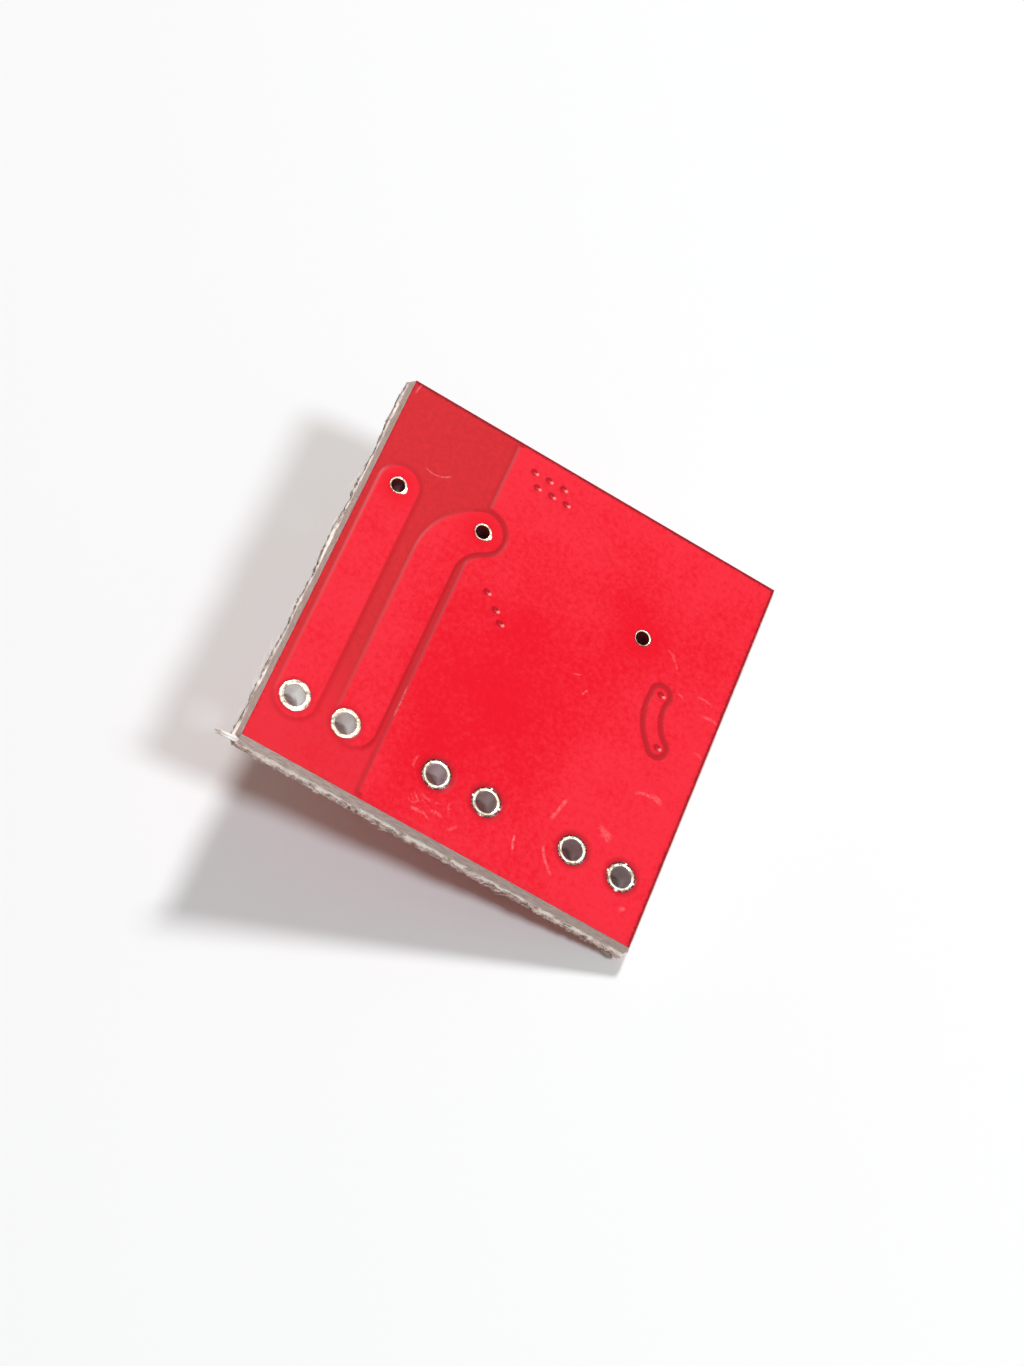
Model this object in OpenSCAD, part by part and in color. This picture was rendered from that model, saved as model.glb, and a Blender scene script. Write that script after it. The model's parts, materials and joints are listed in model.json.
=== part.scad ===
// Microphone amplifier board: a small two-sided circuit board with six wire pads,
// surface-mounted parts on the front, and a red solder mask on both faces.
// It lies back side up, leaning on one corner, its tall capacitor and a ceramic capacitor.
// Board axes: x along the row of wire pads, y away from it, z out of the back face.

/* [Board] */
// Width of the faces between the scored edges
board_w = 19.6; // [19.2:0.1:24]
// Height of the faces between the scored edges
board_h = 19.6; // [19.4:0.1:24]
// Thickness of the glass-fibre laminate
board_t = 1.6; // [1:0.1:2]
// Depth of the V-score on each face
score_depth = 0.5; // [0.3:0.05:0.6]
// How far the score leans out from the face edge to its bottom
score_run = 0.2; // [0.1:0.05:0.3]
// How far the broken web stands proud of the score
break_proud = 0.14; // [0.05:0.01:0.2]
// Length of the fibre tuft at the corner by the speaker pads
tuft_length = 0.8; // [0.5:0.1:1.2]

/* [Copper and coatings] */
// Thickness of the copper foil
copper_t = 0.035; // [0.02:0.005:0.07]
// Thickness of the solder mask over copper
film_t = 0.025; // [0.015:0.005:0.04]
// Width of the raised border of solder mask along a copper edge
film_lap = 0.05; // [0.03:0.01:0.08]
// Thickness of the tin on open copper
tin_t = 0.02; // [0.01:0.005:0.03]
// Thickness of the legend ink
ink_t = 0.015; // [0.01:0.005:0.03]
// Width of a legend line
ink_w = 0.15; // [0.1:0.01:0.2]
// Distance from the face edges to the copper
edge_margin = 0.25; // [0.22:0.01:0.35]
// Bare strip between the front face edges and the front solder mask
film_setback = 0.15; // [0.1:0.01:0.2]
// Gap between the back plane and the tracks in it
back_clearance = 0.28; // [0.2:0.02:0.34]
// Gap between the front plane and the tracks in it
front_clearance = 0.2; // [0.12:0.01:0.22]

/* [Wire pads] */
// Finished hole of a wire pad
pad_hole_d = 0.96; // [0.7:0.02:1.1]
// Copper ring of a wire pad
pad_ring_d = 1.36; // [1.26:0.02:1.5]
// Distance between the two pads of a pair
pad_pitch = 2.54; // [2.3:0.01:2.6]
// Height of the pad row above the lower edge
pad_row_y = 2.78; // [2:0.02:3.1]
// Place of the first speaker pad
speaker_x = 1.34; // [1.2:0.02:1.6]
// Place of the first supply pad
supply_x = 8.49; // [8.2:0.02:8.8]
// Distance of the last microphone pad from the right edge
microphone_inset = 1.58; // [1.3:0.02:1.8]
// Gap between a pad ring and the solder mask
film_gap = 0.08; // [0.05:0.01:0.1]
// Gap between a pad ring and the plane round it
pad_clearance = 0.25; // [0.2:0.01:0.3]
// Width of the spokes that join a pad to the plane
spoke_w = 0.16; // [0.12:0.02:0.3]
// Thickness of the plating in the holes
plating_t = 0.035; // [0.02:0.005:0.05]

/* [Vias] */
// Hole of an open via
open_via_d = 0.64; // [0.5:0.02:0.7]
// Width of the tinned ring round an open via
open_via_ring = 0.12; // [0.08:0.01:0.15]
// Hole of a small covered via
small_via_d = 0.3; // [0.2:0.02:0.36]
// Depth of the dimple in the solder mask over a small via
dimple_depth = 0.09; // [0.05:0.01:0.12]
// Pitch of the small vias in their two rows
via_pitch = 0.785; // [0.7:0.005:0.85]

/* [Back tracks] */
// Width of the two speaker tracks
output_w = 1.95; // [1.8:0.05:2.05]
// Middle line of the first speaker track
output_plus_x = 1.4; // [1.34:0.02:1.5]
// Straight middle line of the second speaker track
output_minus_x = 4.27; // [4.15:0.01:4.3]
// Radius of the bend in the second speaker track
output_bend_r = 2.75; // [2.4:0.05:3.2]
// Left side of the back plane
plane_x = 5.7; // [5.6:0.02:5.9]
// Width of the curved jumper track
jumper_w = 0.6; // [0.4:0.05:0.7]
// Radius of the curved jumper track
jumper_r = 2.5; // [2:0.1:4]

/* [Amplifier chip] */
// Length of the chip body
chip_l = 4.9; // [4.8:0.05:5]
// Width of the chip body
chip_w = 3.9; // [3.8:0.05:4]
// Height of the chip body
chip_h = 1.4; // [1.2:0.05:1.5]
// Gap under the chip body
chip_gap = 0.12; // [0.08:0.02:0.2]
// Overall width across the leads
chip_span = 6; // [5.8:0.05:6.2]
// Pitch of the leads
lead_pitch = 1.27; // [1.25:0.01:1.3]
// Width of a lead
lead_w = 0.41; // [0.35:0.01:0.46]
// Thickness of a lead
lead_t = 0.2; // [0.15:0.01:0.24]

/* [Bulk capacitor] */
// Diameter of the can
can_d = 5; // [4.4:0.1:5.3]
// Height from the pads to the top of the can
can_h = 5.4; // [4.6:0.1:6]
// Radius of the rounded top edge of the can
can_edge_r = 0.3; // [0.2:0.05:0.5]
// Side of the square plastic base
base_w = 5.3; // [5.3:0.05:5.6]
// Height of the upstanding corners of the base
base_h = 1.1; // [0.9:0.05:1.3]
// Thickness of the floor of the base
base_floor = 0.45; // [0.4:0.05:0.6]
// Gap between the can and the corners of the base
base_gap = 0.04; // [0.02:0.01:0.08]
// Length across the two leads of the can
can_lead_span = 6; // [5.9:0.05:6.3]
// Width of a can lead
can_lead_w = 0.65; // [0.5:0.05:0.8]

/* [Small parts] */
// Height of the large ceramic capacitors
large_cap_h = 1.25; // [1:0.05:1.4]
// Height of the small ceramic capacitors
small_cap_h = 0.8; // [0.6:0.05:0.9]
// Height of the resistors
resistor_h = 0.45; // [0.4:0.01:0.55]
// Thickness of the metal ends on the small parts
end_t = 0.02; // [0.015:0.005:0.03]
// Height of the transistor body
transistor_h = 0.95; // [0.85:0.05:1.05]

/* [Hidden] */
$fn = 64;

// Heights of the layers, from the back face outwards on both sides
seat_t = copper_t + tin_t;
skin_t = copper_t + film_t;
bare_film_t = copper_t + film_t / 2;

pad_ring_r = pad_ring_d / 2;
pad_hole_r = pad_hole_d / 2;
pad_open_r = pad_ring_r + film_gap;
open_via_r = open_via_d / 2;
open_via_rim_r = open_via_r + open_via_ring;
open_via_land_r = 0.6;
small_via_r = small_via_d / 2;
jumper_land_r = 0.34;
plug_depth = 0.12;

// Places are chosen by hand in steps of a layout grid that stretches with the board
layout_steps = 196;
function place(across, above) = [across * board_w, above * board_h] / layout_steps;

// The chip keeps its distance from the upper edge, and the speaker vias keep theirs from the chip
chip_inset = 3.4;
chip_y = board_h - chip_inset;
plus_via_in = 0.04;
plus_via_drop = 1.85;
minus_via_out = 1.51;
minus_via_drop = 1.76;
plus_via = [output_plus_x - plus_via_in, chip_y - plus_via_drop];
minus_via = [output_minus_x + minus_via_out, chip_y - minus_via_drop];
plane_via = place(146.2, 138.1);
jumper_ends = [place(164.6, 117.1), place(172.3, 92.7)];
upper_vias = place(67.7, 185.3);
lower_vias = place(71.8, 178.9);
slant_vias = [place(70.9, 118.6), place(77.9, 112.8), place(82.3, 107.9)];
output_end_rise = 0.17;
output_end_y = pad_row_y + output_end_rise;
microphone_x = board_w - microphone_inset - pad_pitch;

speaker_pads = [[speaker_x, pad_row_y], [speaker_x + pad_pitch, pad_row_y]];
supply_pads = [[supply_x, pad_row_y], [supply_x + pad_pitch, pad_row_y]];
microphone_pads = [[microphone_x, pad_row_y], [microphone_x + pad_pitch, pad_row_y]];
wire_pads = concat(speaker_pads, supply_pads, microphone_pads);
isolated_back_pads = [supply_pads[0], microphone_pads[0]];
spoked_pads = [supply_pads[1], microphone_pads[1]];
open_vias = [plus_via, minus_via, plane_via];
plane_vias = concat([for (i = [0:2]) upper_vias + [i * via_pitch, 0]],
    [for (i = [0:2]) lower_vias + [i * via_pitch, 0]], slant_vias);

// Chip: its row of output leads faces the two speaker vias
chip_at = [(plus_via[0] + minus_via[0]) / 2, chip_y];
chip_land = [0.6, 1.4];
chip_toe = 0.1;
lead_foot = 0.6;
chip_lands = [for (side = [-1, 1], i = [-1.5:1.5])
    [chip_at + [i * lead_pitch, side * (chip_span / 2 + chip_toe - chip_land[1] / 2)], chip_land]];

can_at = place(55, 94);
can_land = [2.6, 1];
can_lead_gap = 0.75;
can_toe = 0.2;
can_pin_x = 1;
can_pin_r = 0.25;
can_groove_r = 0.35;
can_groove_depth = 0.22;
can_lands = [for (side = [-1, 1])
    [can_at + [side * (can_lead_span / 2 + can_toe - can_land[0] / 2), 0], can_land]];

// Transistor: lead 0 is the emitter, 1 the base, 2 the collector
transistor_at = place(124, 86);
transistor_l = 2.9;
transistor_w = 1.3;
transistor_gap = 0.08;
transistor_span = 2.4;
transistor_lead_w = 0.42;
transistor_lead_t = 0.12;
transistor_foot = 0.3;
transistor_land = [0.8, 0.9];
transistor_toe = 0.2;
transistor_spread = 0.95;
transistor_leads_at = [[-transistor_spread, -1], [transistor_spread, -1], [0, 1]];
transistor_lands = [for (lead = transistor_leads_at)
    [transistor_at + [lead[0], lead[1] * (transistor_span / 2 + transistor_toe - transistor_land[1] / 2)],
        transistor_land]];

// Small parts: place, whether they stand along y, length, width, width of the metal ends
small_size = [1.6, 0.8, 0.3];
large_size = [2, 1.25, 0.45];
bias_capacitor_inset = [2.125, 1.85];
decoupling_capacitor = [place(97, 151), true, large_size];
bias_capacitor = [[board_w, board_h] - bias_capacitor_inset, true, large_size];
input_capacitor = [place(124, 119), true, small_size];
microphone_capacitor = [place(146.6, 56), false, small_size];
bypass_capacitor = [place(13, 106), true, small_size];
bias_resistor = [place(164.6, 138), true, small_size];
filter_resistor = [place(127, 149), false, small_size];
base_resistor = [place(151, 86), true, small_size];
collector_resistor = [place(183, 109), true, small_size];
input_resistor = [place(97, 119), false, small_size];
feedback_resistor = [place(73, 153), true, small_size];
capacitors = [decoupling_capacitor, bias_capacitor, input_capacitor, microphone_capacitor, bypass_capacitor];
resistors = [bias_resistor, filter_resistor, base_resistor, collector_resistor, input_resistor,
    feedback_resistor];
land_proud = 0.1;

function part_turn(part) = part[1] ? 90 : 0;
function along(part) = part[1] ? [0, 1] : [1, 0];
function land_at(part, side) = part[0] + side * part[2][0] / 2 * along(part);
function land(part, side) = let (l = part[2][0] / 2, w = part[2][1] + land_proud)
    [land_at(part, side), part[1] ? [w, l] : [l, w]];

// Nets on the front: the lands of each, and its tracks as lists of points
supply_lands = [can_lands[0], chip_lands[2], land(decoupling_capacitor, -1), land(filter_resistor, -1)];
bias_lands = [land(filter_resistor, 1), land(bias_resistor, 1), land(collector_resistor, 1),
    land(bias_capacitor, -1)];
microphone_lands = [land(microphone_capacitor, 1), land(bias_resistor, -1)];
base_lands = [land(microphone_capacitor, -1), transistor_lands[1], land(base_resistor, -1)];
collector_lands = [transistor_lands[2], land(base_resistor, 1), land(collector_resistor, -1),
    land(input_capacitor, -1)];
input_lands = [land(input_capacitor, 1), land(input_resistor, 1)];
feedback_lands = [land(input_resistor, -1), land(feedback_resistor, 1), chip_lands[7]];
output_lands = [land(feedback_resistor, -1), chip_lands[3]];
output_plus_lands = [chip_lands[0]];
bypass_lands = [chip_lands[5], chip_lands[6], land(bypass_capacitor, 1)];
ground_lands = [chip_lands[1], chip_lands[4], can_lands[1], transistor_lands[0],
    land(decoupling_capacitor, 1), land(bias_capacitor, 1), land(bypass_capacitor, -1)];
all_lands = concat(supply_lands, bias_lands, microphone_lands, base_lands, collector_lands, input_lands,
    feedback_lands, output_lands, output_plus_lands, bypass_lands, ground_lands);

wide_w = 0.6;
narrow_w = 0.25;
fine_w = 0.2;
track_end = 1.2;
long_track_end = 1.4;
supply_fork = [supply_x, place(0, 44)[1]];
supply_feed = [supply_pads[0], supply_fork, place(75, 54), place(35, 54), place(35, 115),
    chip_lands[2][0] - [0, track_end], chip_lands[2][0]];
supply_rail = [supply_fork, place(97, 56), land_at(decoupling_capacitor, -1), place(111, 141),
    land_at(filter_resistor, -1)];
bias_y = place(0, 160)[1];
bias_corner = [bias_capacitor[0][0], bias_y];
bias_routes = [[land_at(filter_resistor, 1), place(146, 160), bias_corner, land_at(bias_capacitor, -1)],
    [land_at(bias_resistor, 1), [bias_resistor[0][0], bias_y]],
    [land_at(collector_resistor, 1), place(183, 152), bias_corner]];
microphone_fork = [microphone_x, place(0, 50)[1]];
microphone_routes = [[microphone_pads[0], microphone_fork, land_at(microphone_capacitor, 1)],
    [microphone_fork, place(172.3, 68), jumper_ends[1]],
    [jumper_ends[0], land_at(bias_resistor, -1)]];
base_routes = [[land_at(microphone_capacitor, -1), [transistor_lands[1][0][0], place(0, 62)[1]],
    transistor_lands[1][0], land_at(base_resistor, -1)]];
collector_y = place(0, 104)[1];
collector_routes = [[transistor_lands[2][0], land_at(input_capacitor, -1)],
    [[transistor_at[0], collector_y], [collector_resistor[0][0], collector_y]],
    [land_at(base_resistor, 1), [base_resistor[0][0], collector_y]]];
input_routes = [[land_at(input_capacitor, 1), place(113, 127), land_at(input_resistor, 1)]];
feedback_routes = [[land_at(input_resistor, -1), place(83.5, 124.5), place(83.5, 150.5),
    land_at(feedback_resistor, 1), place(63, 161), chip_lands[7][0] - [0, long_track_end],
    chip_lands[7][0]]];
output_routes = [[minus_via, land_at(feedback_resistor, -1)], [minus_via, chip_lands[3][0]]];
output_plus_routes = [[plus_via, chip_lands[0][0]]];
bypass_y = chip_lands[5][0][1] - track_end;
bypass_jog_rise = 0.2;
bypass_jog_drop = 0.4;
bypass_jog_y = chip_y + bypass_jog_rise;
bypass_routes = [[chip_lands[6][0], [chip_lands[6][0][0], bypass_y], [chip_lands[5][0][0], bypass_y],
    [place(21, 0)[0], bypass_jog_y], [place(9, 0)[0], bypass_jog_y],
    [place(5, 0)[0], bypass_jog_y - bypass_jog_drop], place(5, 122), land_at(bypass_capacitor, 1)],
    [chip_lands[5][0], [chip_lands[5][0][0], bypass_y]]];

// Flat shapes

module disc(at, r) {
    translate(at) circle(r);
}

// Straight track with round ends
module bar(a, b, w) {
    run = b - a;
    translate(a) rotate(atan2(run[1], run[0])) {
        translate([0, -w / 2]) square([norm(run), w]);
        circle(w / 2);
        translate([norm(run), 0]) circle(w / 2);
    }
}

module route(points, w) {
    for (i = [1:len(points) - 1]) bar(points[i - 1], points[i], w);
}

module routes(list, w) {
    for (points = list) route(points, w);
}

// Curved track from a to b, bowed to the left of that direction
module bow(a, b, r, w) {
    run = b - a;
    half = norm(run) / 2;
    left = [-run[1], run[0]] / norm(run);
    centre = (a + b) / 2 - left * sqrt(r * r - half * half);
    start = a - centre;
    finish = b - centre;
    middle = left * (r + w);
    reach = 2;
    translate(centre) intersection() {
        difference() {
            circle(r + w / 2);
            circle(r - w / 2);
        }
        polygon([[0, 0], start * reach, start * reach + middle, finish * reach + middle, finish * reach]);
    }
    disc(a, w / 2);
    disc(b, w / 2);
}

module land_shape(spot, g = 0) {
    translate(spot[0]) square(spot[1] + [2 * g, 2 * g], center = true);
}

module outline() {
    square([board_w, board_h]);
}

module inner_outline() {
    translate([edge_margin, edge_margin]) square([board_w - 2 * edge_margin, board_h - 2 * edge_margin]);
}

// Back copper, each shape grown by g

module speaker_plus_shape(g = 0) {
    bar([output_plus_x, pad_row_y], [output_plus_x, plus_via[1]], output_w + 2 * g);
}

module speaker_minus_shape(g = 0) {
    w = output_w + 2 * g;
    aside = minus_via[0] - output_minus_x - output_bend_r;
    bend_y = minus_via[1] - sqrt(output_bend_r * output_bend_r - aside * aside);
    bar([output_minus_x, output_end_y], [output_minus_x, bend_y], w);
    bow([output_minus_x, bend_y], minus_via, output_bend_r, w);
}

module jumper_shape(g = 0) {
    bow(jumper_ends[1], jumper_ends[0], jumper_r, jumper_w + 2 * g);
    for (at = jumper_ends) disc(at, jumper_land_r + g);
}

// Ring-shaped gap round a spoked pad, without its spokes
module relief(at, r, w) {
    translate(at) difference() {
        circle(r);
        square([2 * r, w], center = true);
        square([w, 2 * r], center = true);
    }
}

module back_plane_shape(g = 0) {
    low = edge_margin - g;
    difference() {
        translate([plane_x - g, low]) square([board_w - plane_x - edge_margin + 2 * g, board_h - 2 * low]);
        speaker_minus_shape(back_clearance - g);
        jumper_shape(back_clearance - g);
        for (at = isolated_back_pads) disc(at, pad_ring_r + pad_clearance - g);
        for (at = spoked_pads) relief(at, pad_ring_r + pad_clearance - g, spoke_w + 2 * g);
        for (at = spoked_pads) disc(at, pad_open_r - g);
    }
}

module back_holes() {
    for (at = speaker_pads) disc(at, pad_open_r);
    for (at = open_vias) disc(at, open_via_rim_r);
    for (at = concat(plane_vias, jumper_ends)) disc(at, small_via_r);
}

module back_openings() {
    for (at = wire_pads) disc(at, pad_open_r);
    for (at = open_vias) disc(at, open_via_rim_r);
}

// Front copper, each net grown by g

module net(lands, list, w, g = 0) {
    for (spot = lands) land_shape(spot, g);
    routes(list, w + 2 * g);
}

module supply_shape(g = 0) {
    net(supply_lands, [supply_feed], wide_w, g);
    route(supply_rail, narrow_w + 2 * g);
    disc(supply_pads[0], pad_ring_r + g);
}

module bias_shape(g = 0) {
    net(bias_lands, bias_routes, narrow_w, g);
}

module microphone_shape(g = 0) {
    net(microphone_lands, microphone_routes, narrow_w, g);
    disc(microphone_pads[0], pad_ring_r + g);
    for (at = jumper_ends) disc(at, jumper_land_r + g);
}

module base_shape(g = 0) {
    net(base_lands, base_routes, narrow_w, g);
}

module collector_shape(g = 0) {
    net(collector_lands, collector_routes, narrow_w, g);
}

module input_shape(g = 0) {
    net(input_lands, input_routes, narrow_w, g);
}

module feedback_shape(g = 0) {
    net(feedback_lands, feedback_routes, narrow_w, g);
}

module output_shape(g = 0) {
    net(output_lands, output_routes, wide_w, g);
    net(output_plus_lands, output_plus_routes, wide_w, g);
    for (at = [plus_via, minus_via]) disc(at, open_via_land_r + g);
}

module bypass_shape(g = 0) {
    net(bypass_lands, bypass_routes, fine_w, g);
}

module front_nets(g = 0) {
    supply_shape(g);
    bias_shape(g);
    microphone_shape(g);
    base_shape(g);
    collector_shape(g);
    input_shape(g);
    feedback_shape(g);
    output_shape(g);
    bypass_shape(g);
}

module front_plane_shape() {
    difference() {
        inner_outline();
        front_nets(front_clearance);
        for (at = speaker_pads) disc(at, pad_ring_r + pad_clearance);
        for (at = spoked_pads) relief(at, pad_ring_r + pad_clearance, spoke_w);
        for (at = spoked_pads) disc(at, pad_open_r);
    }
}

module front_holes() {
    for (at = wire_pads) disc(at, pad_ring_r);
    for (at = open_vias) disc(at, open_via_rim_r);
    for (at = concat(plane_vias, jumper_ends)) disc(at, small_via_r);
}

module front_openings(g = 0) {
    for (at = wire_pads) disc(at, pad_open_r + g);
    for (at = open_vias) disc(at, open_via_rim_r + g);
    for (spot = all_lands) land_shape(spot, g);
}

// Resting place: the plane through a corner of the board, the can and the large capacitor

function unit(v) = v / norm(v);
function upward(v) = v[2] < 0 ? -v : v;
function lowest(points, up) = let (heights = [for (p = points) p * up], low = min(heights))
    [for (i = [0:len(points) - 1]) if (heights[i] == low) points[i]][0];
function corners(at, l, w, z) = [for (i = [-1, 1], j = [-1, 1]) [at[0] + i * l / 2, at[1] + j * w / 2, z]];

front_z = -board_t - skin_t;
seat_z = -board_t - seat_t;
function board_foot(up) = let (centre = [board_w, board_h] / 2, bare = 2 * film_setback)
    lowest(concat(corners(centre, board_w, board_h, -board_t),
        corners(centre, board_w - bare, board_h - bare, front_z)), up);
function can_foot(up) = [can_at[0], can_at[1], seat_z - can_h + can_edge_r]
    - (can_d / 2 - can_edge_r) * unit([up[0], up[1], 0]) - can_edge_r * up;
function capacitor_foot(up) = lowest(corners(bias_capacitor[0], large_size[1], large_size[0],
    seat_z - large_cap_h), up);
function settled(up, turns) = turns == 0 ? up
    : let (a = board_foot(up), b = can_foot(up), c = capacitor_foot(up))
        settled(upward(unit(cross(b - a, c - a))), turns - 1);

up = settled(unit([-0.4, 0, 0.9]), 12);
tilt_x = atan2(up[1], up[2]);
tilt_y = atan2(-up[0], norm([up[1], up[2]]));

function tilted(p) = let (z = p[1] * sin(tilt_x) + p[2] * cos(tilt_x))
    [p[0] * cos(tilt_y) + z * sin(tilt_y), p[1] * cos(tilt_x) - p[2] * sin(tilt_x),
        z * cos(tilt_y) - p[0] * sin(tilt_y)];

// Broken web between the two scores: a wavy edge along each side of the board, from two uneven waves
web_steps = 14;
web_reach = 0.02;
web_low = score_run + web_reach;
coarse_wave = [0.3, 137];
fine_wave = [0.2, 61];
side_shift = 20;
function wave(w, i) = w[0] * sin(i * w[1]);
function ripple(i) = web_low + break_proud * (0.5 + wave(coarse_wave, i) + wave(fine_wave, i));
function side_points(from, run, out, first) = [for (i = [0:web_steps])
    from + run * i / web_steps + out * ripple(first + i)];
web_outline = concat(
    side_points([0, 0], [board_w, 0], [0, -1], 0),
    side_points([board_w, 0], [0, board_h], [1, 0], side_shift),
    side_points([board_w, board_h], [-board_w, 0], [0, 1], 2 * side_shift),
    side_points([0, board_h], [0, -board_h], [-1, 0], 3 * side_shift));
tuft_w = 0.35;
tuft_low = 0.05;
tuft_root = [0, tuft_w];
tuft_tip = [-tuft_length - score_run, tuft_low];

// Box of the settled board, from the points that can stick out furthest
rim = concat([for (p = concat(web_outline, [tuft_tip]), z = [-score_depth, -board_t + score_depth])
        [p[0], p[1], z]],
    [for (x = [0, board_w], y = [0, board_h], z = [skin_t, front_z]) [x, y, z]]);
settled_rim = [for (p = rim) tilted(p)];
middle = [for (i = [0, 1]) (min([for (p = settled_rim) p[i]]) + max([for (p = settled_rim) p[i]])) / 2];
floor_z = tilted(board_foot(up))[2];

module settle() {
    translate([-middle[0], -middle[1], -floor_z]) rotate([tilt_x, tilt_y, 0]) children();
}

// Sets a part, modelled upright on its lands, on the front of the board
module mounted(at, turn = 0) {
    translate([at[0], at[1], seat_z]) mirror([0, 0, 1]) rotate([0, 0, turn]) children();
}

// Board

// Slab with a bevel running round its edges, out to the bottom of the score
module scored_slab() {
    low = -board_t;
    module side(l) {
        polygon([[0, 0], [l, 0], [l + score_run, -score_depth], [l + score_run, low + score_depth],
            [l, low], [0, low], [-score_run, low + score_depth], [-score_run, -score_depth]]);
    }
    intersection() {
        translate([0, board_h + 1, 0]) rotate([90, 0, 0]) linear_extrude(board_h + 2) side(board_w);
        translate([-1, 0, 0]) rotate([90, 0, 90]) linear_extrude(board_w + 2) side(board_h);
    }
}

module woven_laminate() {
    web_t = board_t - 2 * score_depth;
    color("wheat") settle() difference() {
        union() {
            scored_slab();
            translate([0, 0, -board_t + score_depth]) linear_extrude(web_t) polygon(web_outline);
            translate([0, 0, -board_t / 2]) linear_extrude(web_t / 2)
                polygon([tuft_tip, tuft_root, tuft_root + [score_run, 0], [score_run, tuft_low]]);
        }
        for (at = wire_pads) bore(at, pad_hole_r + plating_t);
        for (at = open_vias) bore(at, open_via_r + plating_t);
        for (at = concat(plane_vias, jumper_ends)) bore(at, small_via_r + plating_t);
    }
}

module bore(at, r) {
    translate([at[0], at[1], -board_t - 1]) cylinder(r = r, h = board_t + 2);
}

module back_foil() {
    settle() linear_extrude(copper_t) difference() {
        children();
        back_holes();
    }
}

module front_foil() {
    settle() translate([0, 0, -board_t - copper_t]) linear_extrude(copper_t) difference() {
        children();
        front_holes();
    }
}

module back_plane() {
    color("peru") back_foil() back_plane_shape();
}

module speaker_plus_track() {
    color("peru") back_foil() speaker_plus_shape();
}

module speaker_minus_track() {
    color("peru") back_foil() speaker_minus_shape();
}

module jumper_track() {
    color("peru") back_foil() jumper_shape();
}

// Dimpled plugs of solder mask in the small vias, on the face at z = 0
module plugs(top) {
    bowl_r = (small_via_r * small_via_r + dimple_depth * dimple_depth) / (2 * dimple_depth);
    for (at = concat(plane_vias, jumper_ends)) translate([at[0], at[1], 0]) difference() {
        translate([0, 0, -plug_depth]) cylinder(r = small_via_r, h = plug_depth + top);
        translate([0, 0, top - dimple_depth + bowl_r]) sphere(bowl_r);
    }
}

module via_wells() {
    for (at = concat(plane_vias, jumper_ends)) disc(at, small_via_r);
}

module back_solder_mask() {
    color("red") settle() {
        linear_extrude(bare_film_t) difference() {
            outline();
            back_plane_shape();
            speaker_plus_shape();
            speaker_minus_shape();
            jumper_shape();
            back_openings();
        }
        translate([0, 0, copper_t]) linear_extrude(film_t) difference() {
            intersection() {
                outline();
                union() {
                    back_plane_shape(film_lap);
                    speaker_plus_shape(film_lap);
                    speaker_minus_shape(film_lap);
                    jumper_shape(film_lap);
                }
            }
            back_openings();
            via_wells();
        }
        plugs(skin_t);
    }
}

module front_plane() {
    color("peru") front_foil() front_plane_shape();
}

module supply_track() {
    color("peru") front_foil() supply_shape();
}

module bias_track() {
    color("peru") front_foil() bias_shape();
}

module microphone_track() {
    color("peru") front_foil() microphone_shape();
}

module base_track() {
    color("peru") front_foil() base_shape();
}

module collector_track() {
    color("peru") front_foil() collector_shape();
}

module input_track() {
    color("peru") front_foil() input_shape();
}

module feedback_track() {
    color("peru") front_foil() feedback_shape();
}

module output_track() {
    color("peru") front_foil() output_shape();
}

module bypass_track() {
    color("peru") front_foil() bypass_shape();
}

module film_outline() {
    translate([film_setback, film_setback]) square([board_w - 2 * film_setback, board_h - 2 * film_setback]);
}

module front_solder_mask() {
    color("red") settle() {
        translate([0, 0, front_z]) linear_extrude(film_t) difference() {
            film_outline();
            front_openings();
            via_wells();
        }
        translate([0, 0, -board_t - bare_film_t]) linear_extrude(bare_film_t) difference() {
            film_outline();
            front_plane_shape();
            front_nets();
            front_openings();
            via_wells();
        }
        translate([0, 0, -board_t]) mirror([0, 0, 1]) plugs(skin_t);
    }
}

// Legend: an ink outline round each part, a dot at the first lead and plus signs

module ink_frame(at, size) {
    translate(at) difference() {
        square(size + [ink_w, ink_w], center = true);
        square(size - [ink_w, ink_w], center = true);
    }
}

module plus_sign(at, size) {
    translate(at) {
        square([size, ink_w], center = true);
        square([ink_w, size], center = true);
    }
}

module legend_shape() {
    frame_gap = 0.2;
    plus_size = 0.7;
    for (part = concat(capacitors, resistors)) {
        l = part[2][0] * 1.5 + 2 * frame_gap;
        w = part[2][1] + land_proud + 2 * frame_gap;
        ink_frame(part[0], part[1] ? [w, l] : [l, w]);
    }
    ink_frame(chip_at, [chip_l + 2 * frame_gap, chip_span - 2 * chip_land[1] - frame_gap]);
    ink_frame(can_at, [base_w + 2 * frame_gap, base_w + 2 * frame_gap]);
    ink_frame(transistor_at, [transistor_l + 2 * frame_gap, transistor_w - frame_gap]);
    disc(chip_lands[4][0] - [chip_land[0] / 2 + 2 * frame_gap, 0], frame_gap);
    for (at = [speaker_pads[0], supply_pads[0], microphone_pads[0]])
        plus_sign(at - [0, pad_open_r + frame_gap + plus_size], plus_size);
}

module legend() {
    ink_gap = 0.1;
    color("white") settle() translate([0, 0, front_z - ink_t]) linear_extrude(ink_t) difference() {
        intersection() {
            legend_shape();
            inner_outline();
        }
        front_openings(ink_gap);
        via_wells();
    }
}

// Plated holes: a barrel with a tinned ring on each face

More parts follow.
